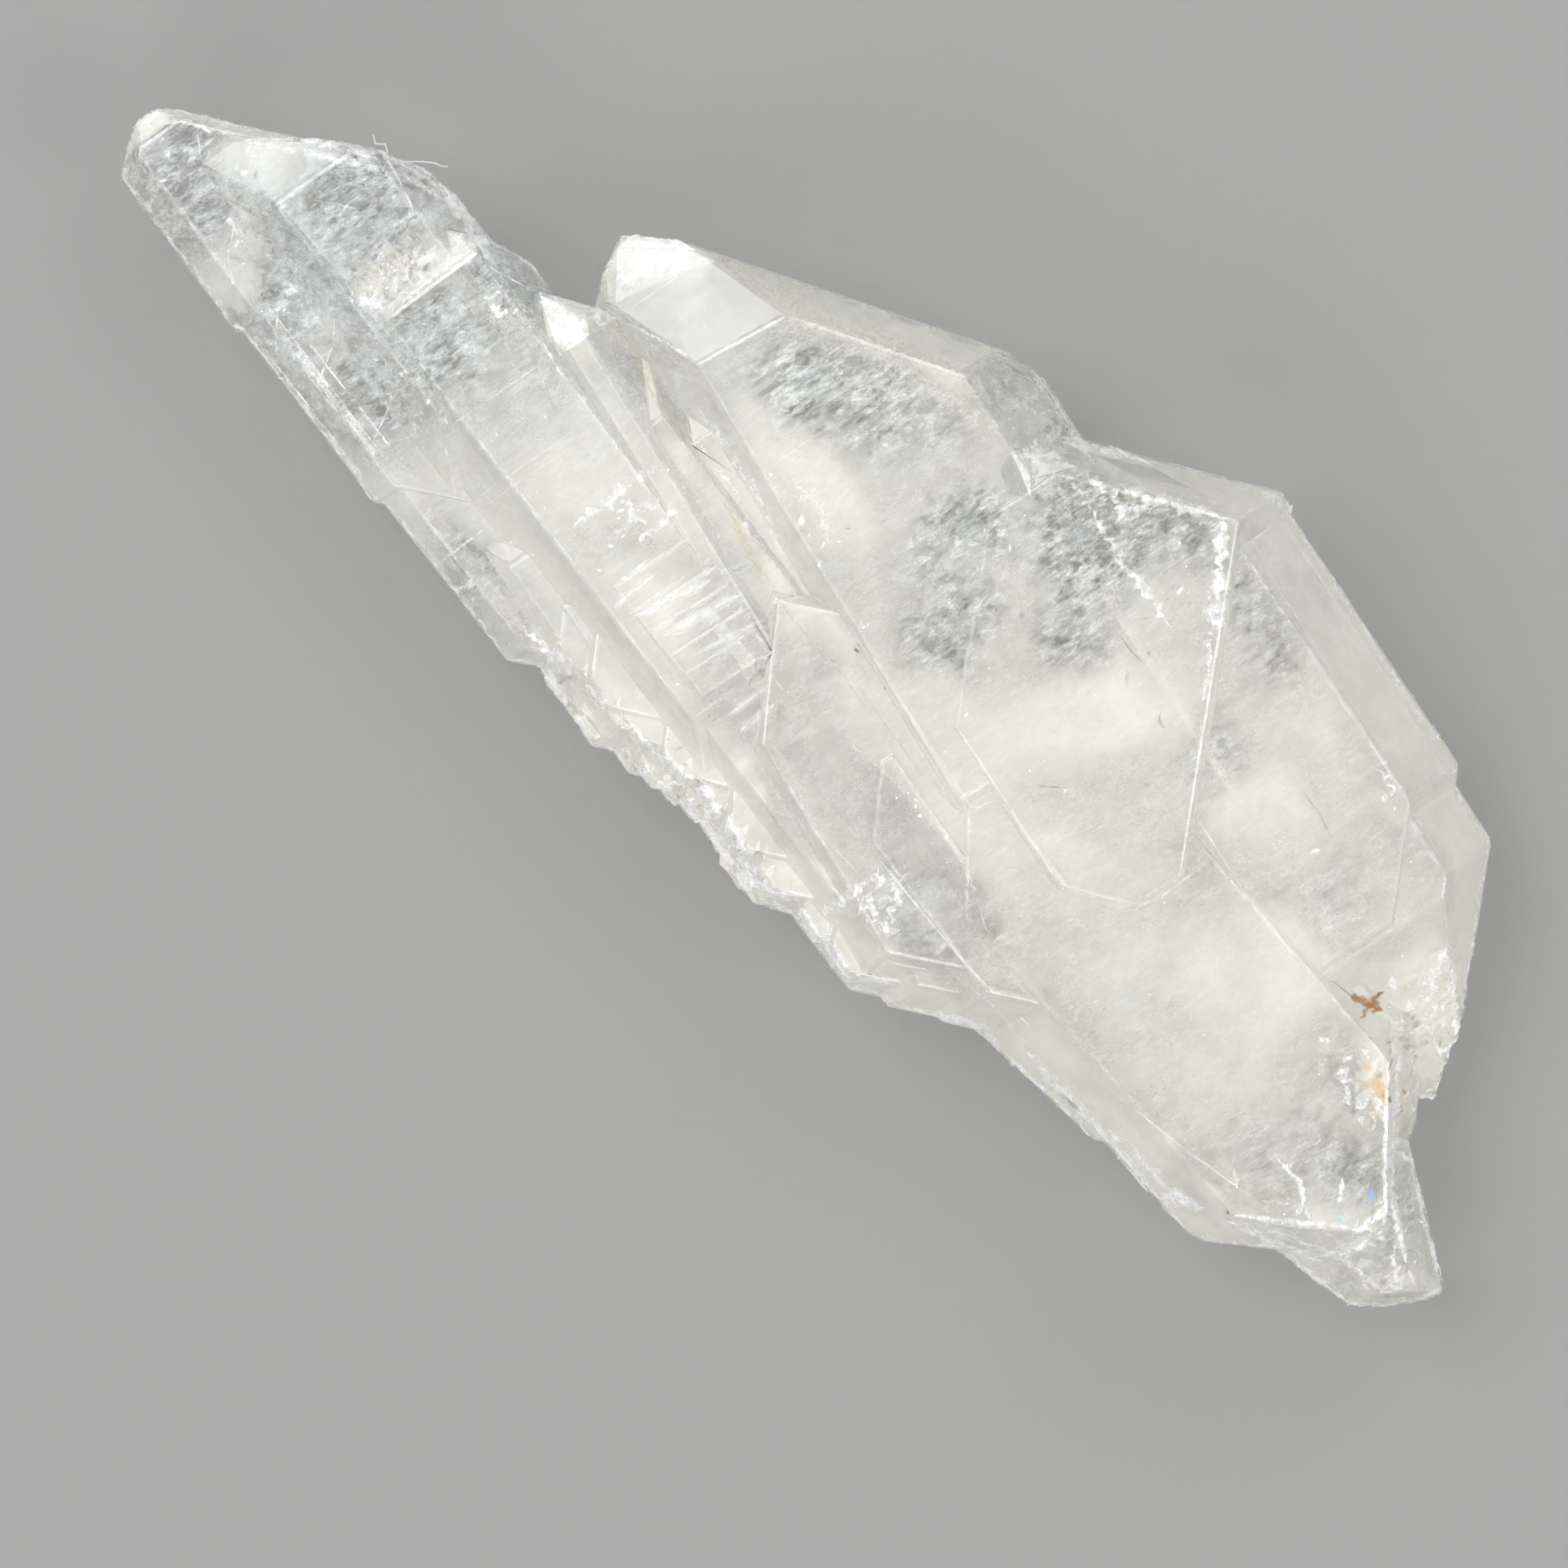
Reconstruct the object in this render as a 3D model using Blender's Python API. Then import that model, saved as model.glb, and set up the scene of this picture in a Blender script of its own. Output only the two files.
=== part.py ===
"""Faden quartz: flat quartz crystals grown side by side on one plate, with points at both ends.

Metres, +Z up. The cluster lies on its broad back face at Z 0, with its long axis, the crystals' c axis,
along X, and the origin under the middle of its box. Every crystal is a block cut by the natural faces of
quartz, and all of them are joined into one solid.
"""

import math
from dataclasses import dataclass, field

import bmesh
import bpy
from mathutils import Matrix, Vector

MM = 0.001

# The fixed angles of quartz: prism faces stand 60 degrees apart round the c axis, and each rhomb face
# leans 38.2 degrees from the prism face below it.
PRISM_STEP = 60
RHOMB_LEAN = 38.2

NODE_NAME = "quartz_cluster"
QUARTZ_IOR = 1.544
MILKY_WHITE = (0.90, 0.90, 0.87, 1.0)

BLOCK_SIDE = 120.0  # the rough block that each crystal is cut from, in mm
TO_ORIGIN = Vector((-0.075, -0.005, 0.0))  # moves the drawn plan so that the box is centred on the origin


@dataclass
class Tip:
    """One end of a crystal, in mm: plan points where the front and back rhomb faces leave the broad faces,
    and a point on the ridge where the two slanting rhomb faces of each side meet."""

    front: tuple = None
    back: tuple = None
    low: tuple = None
    high: tuple = None


@dataclass
class Crystal:
    """One tabular crystal, in mm and degrees. yaw turns its c axis in plan. low_side and high_side are
    points on the edges where its slanting prism faces meet, towards -Y and +Y, and may have their own yaw,
    because stepped growth tapers a crystal. breaks are (point, outward normal) of broken faces."""

    back: float
    front: float
    low_side: tuple
    high_side: tuple
    left: Tip
    right: Tip
    yaw: float = 0.0
    low_yaw: float = None
    high_yaw: float = None
    breaks: list = field(default_factory=list)


CRYSTALS = {
    # The broad plate that the others grew on. Its back is what the cluster rests on.
    "plate": Crystal(
        back=0.0,
        front=5.9,
        low_side=(10, -3.9, 2.9),
        low_yaw=8,
        high_side=(5, 7.6, 3.0),
        left=Tip(front=(-8, 1), back=(-8.4, 1), high=(-6, 5.6, 3.0), low=(-8.5, -3.2, 3.0)),
        right=Tip(front=(17, 2), back=(17.4, 2), high=(17, 8.4, 3.0), low=(19.4, -1.6, 3.0)),
    ),
    # The long point at the left, stepped three times along its low edge.
    "long_tip": Crystal(
        back=1.1,
        front=4.42,
        yaw=2,
        low_side=(-21, -11.8, 2.9),
        low_yaw=4,
        high_side=(-18, -3.95, 3.2),
        high_yaw=4.5,
        left=Tip(front=(-24.4, -10), back=(-21.7, -9), high=(-22, -6.7, 3.6), low=(-24.9, -11.3, 3.0)),
        right=Tip(front=(-12, -8), back=(-12.5, -8), low=(-18.3, -11.58, 2.9)),
    ),
    "long_middle": Crystal(
        back=1.0,
        front=4.37,
        yaw=3,
        low_side=(-15, -11.18, 3.0),
        low_yaw=4.5,
        high_side=(-14, -4.2, 3.0),
        left=Tip(front=(-22.5, -9), back=(-20.2, -8), high=(-19, -5.0, 3.0)),
        right=Tip(front=(-6, -7), back=(-6.5, -7), low=(-11.7, -10.85, 3.0)),
    ),
    "long_foot": Crystal(
        back=0.85,
        front=4.3,
        yaw=3,
        low_side=(-8, -10.38, 3.1),
        low_yaw=5,
        high_side=(-6, -3.4, 3.0),
        left=Tip(front=(-20, -8), back=(-17, -7.6), high=(-15, -4.9, 3.0)),
        right=Tip(front=(0, -6), back=(-1, -6), low=(-5.3, -9.85, 3.1)),
    ),
    "long_ridge": Crystal(
        back=1.35,
        front=6.2,
        yaw=2,
        low_side=(-18, -9.92, 3.4),
        low_yaw=5,
        high_side=(-18, -3.75, 4.0),
        high_yaw=4.5,
        left=Tip(front=(-20.75, -7.2), back=(-19.6, -7), high=(-22, -6.55, 5.6)),
        right=Tip(front=(-13, -6), back=(-14, -6)),
    ),
    "stepped_ridge": Crystal(
        back=0.7,
        front=6.45,
        yaw=4,
        low_side=(-13, -9.22, 3.3),
        low_yaw=4.5,
        high_side=(-14.5, -2.95, 4.37),
        high_yaw=3,
        left=Tip(front=(-16.15, -6), back=(-14.2, -6), high=(-16.1, -3.3, 5.5)),
        right=Tip(front=(-1.2, -5), back=(-2, -5)),
    ),
    "sliver_point": Crystal(
        back=2.0,
        front=6.53,
        yaw=-1,
        low_side=(-12, -4.8, 4.4),
        high_side=(-10, -1.68, 4.4),
        high_yaw=-2,
        left=Tip(front=(-12.4, -3.3), back=(-11, -3), high=(-13.6, -2.65, 4.95)),
        right=Tip(front=(-1.5, -3), back=(-2, -3)),
    ),
    # The bright point in the middle, and the peak that grew across its shoulder.
    "bright_point": Crystal(
        back=0.3,
        front=7.0,
        yaw=-4,
        low_side=(-6, -2.83, 3.4),
        low_yaw=-2,
        high_side=(-3, 7.92, 3.45),
        high_yaw=0,
        left=Tip(front=(-9.8, 1.0), back=(-10.8, 1.0), high=(-9.4, 4.15, 4.3), low=(-13.5, -1.75, 3.9)),
        right=Tip(front=(5.45, 3.0), back=(9.6, 3.0)),
    ),
    "peak": Crystal(
        back=0.75,
        front=7.05,
        yaw=0,
        low_side=(4, -2.1, 3.5),
        high_side=(2.4, 13.0, 3.5),
        left=Tip(front=(-1.4, 6.4), back=(-0.6, 6.4), high=(0, 9.55, 4.2), low=(-1, 1.75, 3.5)),
        right=Tip(front=(10.6, 3.8), back=(9.8, 3.8), high=(6.35, 9.08, 3.5), low=(11.15, 0.0, 3.5)),
    ),
    # The broad point at the right, and its stepped end.
    "broad_point": Crystal(
        back=0.45,
        front=6.62,
        yaw=1,
        low_side=(10, 1.5, 3.3),
        high_side=(8, 11.95, 3.3),
        high_yaw=0.8,
        left=Tip(front=(-0.6, 7), back=(0.6, 7), high=(0.4, 9.7, 3.9)),
        right=Tip(front=(15.1, 8), back=(15.6, 8), high=(12.6, 11.8, 3.3), low=(17.8, 4.6, 3.3)),
    ),
    "broad_end": Crystal(
        back=0.6,
        front=6.52,
        yaw=0,
        low_side=(14, 2.6, 3.3),
        high_side=(13.8, 11.6, 3.4),
        left=Tip(front=(6, 8), back=(7, 8), high=(9, 11.0, 3.4)),
        right=Tip(front=(15.4, 8.5), back=(18.6, 8), high=(17.75, 8.9, 3.55), low=(20.35, 5.4, 3.3)),
    ),
    # The wedge-shaped point at the lower right, broken off steeply at its end.
    "wedge_point": Crystal(
        back=0.2,
        front=6.85,
        yaw=8,
        low_side=(16, -3.05, 4.4),
        low_yaw=9,
        high_side=(15, 6.83, 3.5),
        left=Tip(front=(3, -1), back=(5, 0), low=(8, -4.24, 4.0)),
        right=Tip(front=(22.4, 1.7), back=(19.6, 1.2), low=(21.3, -0.75, 4.75)),
        breaks=[
            ((20.6, 4.0, 6.85), (0.56, 0.82, 0.06)),
            ((22.72, 1.7, 6.6), (0.97, 0.17, -0.16)),
        ],
    ),
    "wedge_ledge": Crystal(
        back=1.2,
        front=5.6,
        yaw=8,
        low_side=(13.2, -3.95, 3.5),
        low_yaw=14,
        high_side=(12, 4, 3.4),
        left=Tip(front=(6, -2), back=(7, -2), low=(8.4, -6.0, 3.6)),
        right=Tip(front=(18.4, 0), back=(17.6, 0), low=(15.8, -3.3, 3.5)),
    ),
    # The inset point and the keel in front of the low side.
    "inset_point": Crystal(
        back=0.55,
        front=6.7,
        yaw=3,
        low_side=(3, -6.76, 4.0),
        low_yaw=-2,
        high_side=(3, 2, 3.5),
        left=Tip(front=(-2.75, -2.4), back=(-1.5, -2.4), high=(-2.6, -1.2, 5.0), low=(-1, -5.31, 4.0)),
        right=Tip(front=(11.2, -2), back=(10.5, -2), low=(9.3, -5.46, 4.0)),
    ),
    "keel": Crystal(
        back=0.9,
        front=6.78,
        yaw=2,
        low_side=(7.5, -5.35, 4.0),
        low_yaw=4,
        high_side=(7, 0, 3.5),
        left=Tip(front=(3.0, -2.6), back=(4, -2.6), low=(4.9, -5.6, 4.0)),
        right=Tip(front=(12.4, -2), back=(11.4, -2), low=(10.75, -4.8, 4.0)),
    ),
    # The ledges that step down the low edge.
    "long_ledge": Crystal(
        back=1.0,
        front=6.15,
        yaw=4,
        low_side=(6.5, -7.1, 3.6),
        low_yaw=5,
        high_side=(0, 0, 3.4),
        left=Tip(front=(-9, -5), back=(-7, -5), low=(-7.6, -8.6, 3.6)),
        right=Tip(front=(12, -3), back=(10.5, -3), low=(8.6, -6.5, 3.6)),
    ),
    "ledge_1": Crystal(
        back=1.3,
        front=4.95,
        yaw=1,
        low_side=(-3.5, -9.46, 3.2),
        high_side=(-3, -3, 3.4),
        left=Tip(front=(-8, -6), back=(-7, -6)),
        right=Tip(front=(2, -6), back=(1, -6), low=(-1.75, -9.1, 3.2)),
    ),
    "ledge_2": Crystal(
        back=1.5,
        front=5.1,
        yaw=2,
        low_side=(-0.5, -8.68, 3.3),
        high_side=(0, -3, 3.4),
        left=Tip(front=(-6, -6), back=(-5, -6)),
        right=Tip(front=(4, -6), back=(3, -6), low=(-0.5, -8.5, 3.3)),
    ),
    "ledge_3": Crystal(
        back=1.2,
        front=5.0,
        yaw=1,
        low_side=(2.8, -7.96, 3.5),
        high_side=(2, -3, 3.4),
        left=Tip(front=(-4, -6), back=(-3, -6), low=(-1.6, -8.3, 3.5)),
        right=Tip(front=(8, -5), back=(7, -5), low=(4.85, -7.62, 3.5)),
    ),
    "ledge_4": Crystal(
        back=1.4,
        front=5.7,
        yaw=3,
        low_side=(8.4, -6.3, 3.7),
        high_side=(6, -2, 3.4),
        left=Tip(front=(2, -5), back=(3, -5)),
        right=Tip(front=(11.5, -3), back=(10.8, -3), low=(10.1, -5.32, 3.7)),
    ),
    # The clear broken point behind the lower right end.
    "clear_chip": Crystal(
        back=1.5,
        front=4.7,
        yaw=0,
        low_side=(23, 0.0, 3.0),
        low_yaw=19,
        high_side=(23, 3.93, 3.1),
        high_yaw=-20,
        left=Tip(front=(16, 2), back=(16, 2), high=(20.7, 4.45, 3.1)),
        right=Tip(),
        breaks=[
            ((24.65, 1.5, 3.0), (0.88, -0.44, 0.16)),
            ((25.22, 2.9, 3.0), (0.93, 0.30, -0.20)),
            ((24.0, 2.0, 4.7), (0.30, 0.05, 0.95)),
            ((24.0, 2.0, 1.6), (0.34, -0.05, -0.93)),
        ],
    ),
}

# Shallow terraces that cross the stepped ridge: the x at which each one begins, and how much it rises.
TERRACE_STARTS = (-5.7, -4.6, -3.95, -3.1, -2.4)
TERRACE_END = -1.55
TERRACE_RISE = 0.05

# Knobs along the low edge: the outermost point of each one's ridge.
KNOB_RIDGES = (
    (-4.2, -9.54, 3.0),
    (-2.8, -9.42, 3.5),
    (-1.35, -8.98, 3.1),
    (-0.6, -8.66, 3.6),
    (0.15, -8.42, 3.2),
    (1.0, -8.16, 3.7),
    (2.2, -8.04, 3.2),
    (3.5, -8.03, 3.7),
    (-4.7, -8.85, 4.5),
    (-3.3, -8.65, 4.8),
    (-1.9, -8.35, 4.6),
    (-0.4, -7.95, 4.8),
    (1.0, -7.62, 4.6),
    (2.5, -7.5, 4.9),
    (4.0, -7.42, 4.7),
    (5.9, -7.1, 4.4),
    (7.2, -6.9, 4.6),
)
KNOB_HALF_LENGTH = 0.45
KNOB_HALF_HEIGHT = 0.5
KNOB_DEPTH = 2.5


def terraces():
    """(name, crystal) of each shallow terrace."""
    ridge_front = CRYSTALS["stepped_ridge"].front
    for count, start in enumerate(TERRACE_STARTS, 1):
        yield f"terrace_{count}", Crystal(
            back=5.0,
            front=ridge_front + count * TERRACE_RISE,
            low_side=(-4, -6.3, 6.2),
            low_yaw=4,
            high_side=(-4, -3.1, 6.2),
            left=Tip(front=(start, -5)),
            right=Tip(front=(TERRACE_END, -5)),
        )


def knobs():
    """(name, crystal) of each knob, a short point at both ends."""
    for count, (x, y, z) in enumerate(KNOB_RIDGES, 1):
        start, end = x - KNOB_HALF_LENGTH, x + KNOB_HALF_LENGTH
        yield f"knob_{count}", Crystal(
            back=z - KNOB_HALF_HEIGHT,
            front=z + KNOB_HALF_HEIGHT,
            yaw=2,
            low_side=(x, y, z),
            high_side=(x, y + KNOB_DEPTH, z),
            left=Tip(low=(start, y, z)),
            right=Tip(low=(end, y, z)),
        )


def turned(normal, yaw):
    return Matrix.Rotation(math.radians(yaw), 3, "Z") @ Vector(normal)


def prism_normal(azimuth, yaw):
    """A prism face's outward normal. Azimuth 0 faces the front, +Z, and grows towards +Y."""
    around = math.radians(azimuth)
    return turned((0, math.sin(around), math.cos(around)), yaw)


def rhomb_normal(end, azimuth, yaw):
    """A rhomb face's outward normal at one end, -1 or +1 along the c axis."""
    around, lean = math.radians(azimuth), math.radians(RHOMB_LEAN)
    return turned(
        (end * math.sin(lean), math.cos(lean) * math.sin(around), math.cos(lean) * math.cos(around)), yaw
    )


def tip_faces(crystal, tip, end):
    """(point, normal) of each rhomb face at one end."""
    if tip.front:
        yield (*tip.front, crystal.front), rhomb_normal(end, 0, crystal.yaw)
    if tip.back:
        yield (*tip.back, crystal.back), rhomb_normal(end, 180, crystal.yaw)
    for ridge, side in ((tip.high, 1), (tip.low, -1)):
        if ridge:
            yield ridge, rhomb_normal(end, side * PRISM_STEP, crystal.yaw)
            yield ridge, rhomb_normal(end, side * 2 * PRISM_STEP, crystal.yaw)


def crystal_faces(crystal):
    """(point, normal) of every face that bounds the crystal."""
    yield (0, 0, crystal.front), Vector((0, 0, 1))
    yield (0, 0, crystal.back), Vector((0, 0, -1))
    sides = ((crystal.high_side, crystal.high_yaw, 1), (crystal.low_side, crystal.low_yaw, -1))
    for edge, own_yaw, side in sides:
        yaw = crystal.yaw if own_yaw is None else own_yaw
        yield edge, prism_normal(side * PRISM_STEP, yaw)
        yield edge, prism_normal(side * 2 * PRISM_STEP, yaw)
    yield from tip_faces(crystal, crystal.left, -1)
    yield from tip_faces(crystal, crystal.right, 1)
    for point, normal in crystal.breaks:
        yield point, Vector(normal).normalized()


def cut_block(faces):
    """A closed mesh: a block with all that lies outside each face cut away."""
    shape = bmesh.new()
    bmesh.ops.create_cube(shape, size=BLOCK_SIDE)
    for point, normal in faces:
        everything = shape.verts[:] + shape.edges[:] + shape.faces[:]
        bmesh.ops.bisect_plane(
            shape, geom=everything, plane_co=Vector(point), plane_no=normal, clear_outer=True, dist=1e-5
        )
        open_edges = [edge for edge in shape.edges if edge.is_boundary]
        bmesh.ops.holes_fill(shape, edges=open_edges, sides=0)
    bmesh.ops.dissolve_degenerate(shape, edges=shape.edges[:], dist=1e-4)
    bmesh.ops.recalc_face_normals(shape, faces=shape.faces[:])
    return shape


def crystal_object(name, crystal, material):
    shape = cut_block(crystal_faces(crystal))
    bmesh.ops.translate(shape, verts=shape.verts[:], vec=TO_ORIGIN)
    bmesh.ops.scale(shape, verts=shape.verts[:], vec=(MM, MM, MM))
    mesh = bpy.data.meshes.new(name)
    shape.to_mesh(mesh)
    shape.free()
    mesh.materials.append(material)
    return bpy.data.objects.new(name, mesh)


def quartz_material():
    material = bpy.data.materials.new("milky_quartz")
    material.use_nodes = True
    shader = material.node_tree.nodes["Principled BSDF"]
    shader.inputs["Base Color"].default_value = MILKY_WHITE
    shader.inputs["Roughness"].default_value = 0.08
    shader.inputs["Metallic"].default_value = 0.0
    shader.inputs["IOR"].default_value = QUARTZ_IOR
    shader.inputs["Transmission Weight"].default_value = 0.8
    return material


def clear_scene():
    for leftover in list(bpy.data.objects):
        bpy.data.objects.remove(leftover, do_unlink=True)


def build_cluster():
    """The plate, with every other crystal joined to it."""
    quartz = quartz_material()
    grown_on = bpy.data.collections.new("crystals_to_join")
    bpy.context.scene.collection.children.link(grown_on)
    for name, crystal in (*CRYSTALS.items(), *terraces(), *knobs()):
        made = crystal_object(name, crystal, quartz)
        if name == "plate":
            made.name = NODE_NAME
            bpy.context.scene.collection.objects.link(made)
            cluster = made
        else:
            made.hide_render = True
            made.display_type = "WIRE"
            grown_on.objects.link(made)
    join = cluster.modifiers.new("grow_together", "BOOLEAN")
    join.operation = "UNION"
    join.operand_type = "COLLECTION"
    join.collection = grown_on
    join.solver = "EXACT"
    return cluster


clear_scene()
build_cluster()
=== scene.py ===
"""The looks of a faden quartz cluster: clear crystals with worn edges, milky clouds and healed cracks, and
painted highlights and painted shade on edges and facets.

Lengths are in millimetres in the making, and in metres once an object is made. The crystals' c axis runs
along X, the broad front faces look up, and the cluster lies on its back on a pale table.
"""

import math
import random

import bmesh
import bpy
import numpy as np
from mathutils import Matrix, Vector, noise
from mathutils.bvhtree import BVHTree
from mathutils.kdtree import KDTree


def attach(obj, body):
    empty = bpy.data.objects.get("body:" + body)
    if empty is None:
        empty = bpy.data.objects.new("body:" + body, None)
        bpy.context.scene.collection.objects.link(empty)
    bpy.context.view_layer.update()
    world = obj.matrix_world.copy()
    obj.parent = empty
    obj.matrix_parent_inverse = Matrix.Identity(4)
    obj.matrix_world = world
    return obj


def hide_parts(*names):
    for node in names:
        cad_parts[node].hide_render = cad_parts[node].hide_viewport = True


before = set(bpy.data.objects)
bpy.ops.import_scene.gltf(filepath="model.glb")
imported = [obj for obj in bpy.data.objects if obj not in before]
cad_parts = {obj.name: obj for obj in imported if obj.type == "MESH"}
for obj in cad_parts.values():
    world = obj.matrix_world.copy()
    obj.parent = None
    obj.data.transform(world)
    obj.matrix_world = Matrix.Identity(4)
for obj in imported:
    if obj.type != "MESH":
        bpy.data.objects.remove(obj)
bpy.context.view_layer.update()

MM = 0.001
BODY = "root"
NODE = "quartz_cluster"
SEED = 7

QUARTZ_IOR = 1.544


# ---------------------------------------------------------------- mesh helpers


WELD_DISTANCE = 2e-4
FLAT_FACE_ANGLE = math.radians(0.6)
CUT_DISTANCE = 1e-4


def add_object(name, mesh, *materials, shadow=True):
    """An object of a mesh made in millimetres, in the cluster's body."""
    mesh.transform(Matrix.Scale(MM, 4))
    mesh.materials.clear()
    for material in materials:
        mesh.materials.append(material)
    piece = bpy.data.objects.new(name, mesh)
    piece.visible_shadow = shadow
    bpy.context.scene.collection.objects.link(piece)
    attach(piece, BODY)
    return piece


def solid_in_mm():
    """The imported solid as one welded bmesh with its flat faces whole, in millimetres."""
    shape = bmesh.new()
    shape.from_mesh(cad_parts[NODE].data)
    bmesh.ops.scale(shape, verts=shape.verts, vec=(1 / MM,) * 3)
    bmesh.ops.remove_doubles(shape, verts=shape.verts, dist=WELD_DISTANCE)
    bmesh.ops.dissolve_limit(shape, angle_limit=FLAT_FACE_ANGLE, verts=shape.verts, edges=shape.edges)
    return shape


def mesh_of(shape, name):
    mesh = bpy.data.meshes.new(name)
    shape.to_mesh(mesh)
    shape.free()
    return mesh


def with_modifier(mesh, kind, settings):
    """A new mesh: this one after one modifier with these settings."""
    holder = bpy.data.objects.new("holder", mesh)
    bpy.context.scene.collection.objects.link(holder)
    modifier = holder.modifiers.new("shaping", kind)
    for name, value in settings.items():
        setattr(modifier, name, value)
    graph = bpy.context.evaluated_depsgraph_get()
    shaped = bpy.data.meshes.new_from_object(holder.evaluated_get(graph))
    shaped.name = mesh.name
    bpy.data.objects.remove(holder)
    bpy.data.meshes.remove(mesh)
    return shaped


def points_of(mesh):
    points = np.empty(len(mesh.vertices) * 3, np.float32)
    mesh.vertices.foreach_get("co", points)
    return points.reshape(-1, 3).astype(float)


def store(mesh, name, values):
    """Keeps one number per vertex on the mesh for its material to read."""
    layer = mesh.attributes.new(name, "FLOAT", "POINT")
    layer.data.foreach_set("value", np.asarray(values, np.float32))


def bisect(shape, geometry, axis, place):
    """Cuts the geometry by the plane that stands at a place on the axis."""
    point, normal = Vector((0, 0, 0)), Vector((0, 0, 0))
    point[axis], normal[axis] = place, 1
    bmesh.ops.bisect_plane(shape, geom=geometry, plane_co=point, plane_no=normal, dist=CUT_DISTANCE)


def eased(share):
    """A share from 0 to 1 with a soft start and a soft end."""
    return share * share * (3 - 2 * share)


# ---------------------------------------------------------------- worn edges


SHARP_ANGLE = math.radians(13)
SHORTEST_WORN_EDGE = 0.25
RIM_TILT = 0.05  # how far a face must lean up or down to count as the front or the back of the rim
WEAR_SPREAD = (0.6, 1.2)  # how unevenly the edges inside the rim are worn
WEAR_ROOM = 0.3  # the most of a face's width that wear takes
CRYSTAL_WEAR = (0.20, 0.11)  # how wide the rim and the other edges are blunted
SKIN_WEAR = (0.22, 0.13)


def face_width(face):
    return face.calc_area() / max(edge.calc_length() for edge in face.edges)


def is_rim(edge):
    """Whether the edge is on the cluster's outline, between a face that looks up and one that looks down."""
    leans = [face.normal.z for face in edge.link_faces]
    return len(leans) == 2 and max(leans) > RIM_TILT and min(leans) < -RIM_TILT


def gets_worn(edge):
    """Whether the edge is sharp, convex and long enough to be blunted."""
    is_sharp = edge.calc_face_angle(0) >= SHARP_ANGLE
    return is_sharp and edge.is_convex and edge.calc_length() >= SHORTEST_WORN_EDGE


def worn_solid(name, rim_width, edge_width):
    """The solid with its sharp edges blunted, the rim most. The narrow faces this makes get material 1."""
    chance = random.Random(SEED)
    shape = solid_in_mm()
    weight = shape.edges.layers.float.new("bevel_weight_edge")
    for edge in shape.edges:
        if gets_worn(edge):
            width = rim_width if is_rim(edge) else edge_width * chance.uniform(*WEAR_SPREAD)
            room = WEAR_ROOM * min(face_width(face) for face in edge.link_faces)
            edge[weight] = min(width, room) / rim_width
    settings = {
        "limit_method": "WEIGHT",
        "width": rim_width,
        "segments": 2,
        "use_clamp_overlap": False,
        "material": 1,
    }
    return with_modifier(mesh_of(shape, name), "BEVEL", settings)


# ---------------------------------------------------------------- crystal surface


PATCH_END = 1.45  # where a soft patch has faded to nothing, in half lengths from its middle


def patch_sum(points, patches):
    """The sum over the patches, each full at its middle and fading to nothing past its rim."""
    total = np.zeros(len(points))
    for x, y, half_length, half_width, turn, strength in patches:
        angle = math.radians(turn)
        along = (points[:, 0] - x) * math.cos(angle) + (points[:, 1] - y) * math.sin(angle)
        across = (points[:, 1] - y) * math.cos(angle) - (points[:, 0] - x) * math.sin(angle)
        reach = np.sqrt((along / half_length) ** 2 + (across / half_width) ** 2)
        total += strength * eased(np.clip(PATCH_END - reach, 0, 1))
    return total


# Chipped and crinkled places, as (x, y, half length, half width, turn in degrees, how deep they go).
CHIPPED_PATCHES = (
    (18.4, 7.3, 2.3, 1.5, -40, 0.15),
    (23.1, 2.2, 2.0, 1.7, -20, 0.12),
    (18.5, 4.2, 1.2, 0.8, 0, 0.13),
    (-17.3, -6.8, 0.6, 1.4, 8, 0.08),
    (2.4, -7.7, 3.2, 0.8, 4, 0.13),
    (-3.9, -9.0, 2.2, 0.7, 10, 0.11),
    (6.2, -5.2, 0.9, 1.2, 0, 0.10),
    (-2.2, 6.9, 0.7, 0.8, 0, 0.10),
)
CHIP_CELL = 0.28
CHIP_SPAN = 1.2  # how far out a chipped place is finely divided, in half lengths
CHIP_SHELLS = ((1.5, 1.0), (3.4, 0.45))  # (how finely the noise repeats, how strong it is)
CHIP_LEAST = 0.1
CHIP_RELIEF = 1.6
UNTOUCHED = 1e-4


def chip_depth(points):
    """How far the surface has chipped away at each point, as small shells with sharp creases between."""
    reach = patch_sum(points, CHIPPED_PATCHES)
    shells = np.zeros(len(points))
    for number in np.nonzero(reach > UNTOUCHED)[0]:
        place = Vector(points[number])
        shells[number] = sum(strength * abs(noise.noise(place * scale)) for scale, strength in CHIP_SHELLS)
    return reach * (CHIP_LEAST + CHIP_RELIEF * shells)


def cut_faces(shape, faces, axis, place):
    """Cuts these faces alone by the plane that stands at a place on the axis."""
    corners = dict.fromkeys(vert for face in faces for vert in face.verts)
    edges = dict.fromkeys(edge for face in faces for edge in face.edges)
    bisect(shape, [*corners, *edges, *faces], axis, place)


def faces_near(shape, x, y, reach):
    """The faces with their middle within reach of (x, y) along both axes of the plan."""
    near = []
    for face in shape.faces:
        middle = face.calc_center_median()
        if abs(middle.x - x) < reach and abs(middle.y - y) < reach:
            near.append(face)
    return near


def cut_chipped_places(shape):
    """Divides the faces of the chipped places finely enough to crinkle them."""
    for x, y, half_length, half_width, *_ in CHIPPED_PATCHES:
        reach = CHIP_SPAN * max(half_length, half_width)
        count = int(2 * reach / CHIP_CELL)
        for axis, middle in ((0, x), (1, y)):
            cut_faces(shape, shape.faces[:], axis, middle - reach)
            cut_faces(shape, shape.faces[:], axis, middle + reach)
        for axis, middle in ((0, x), (1, y)):
            for number in range(1, count):
                place = middle - reach + 2 * reach * number / count
                cut_faces(shape, faces_near(shape, x, y, reach), axis, place)


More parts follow.
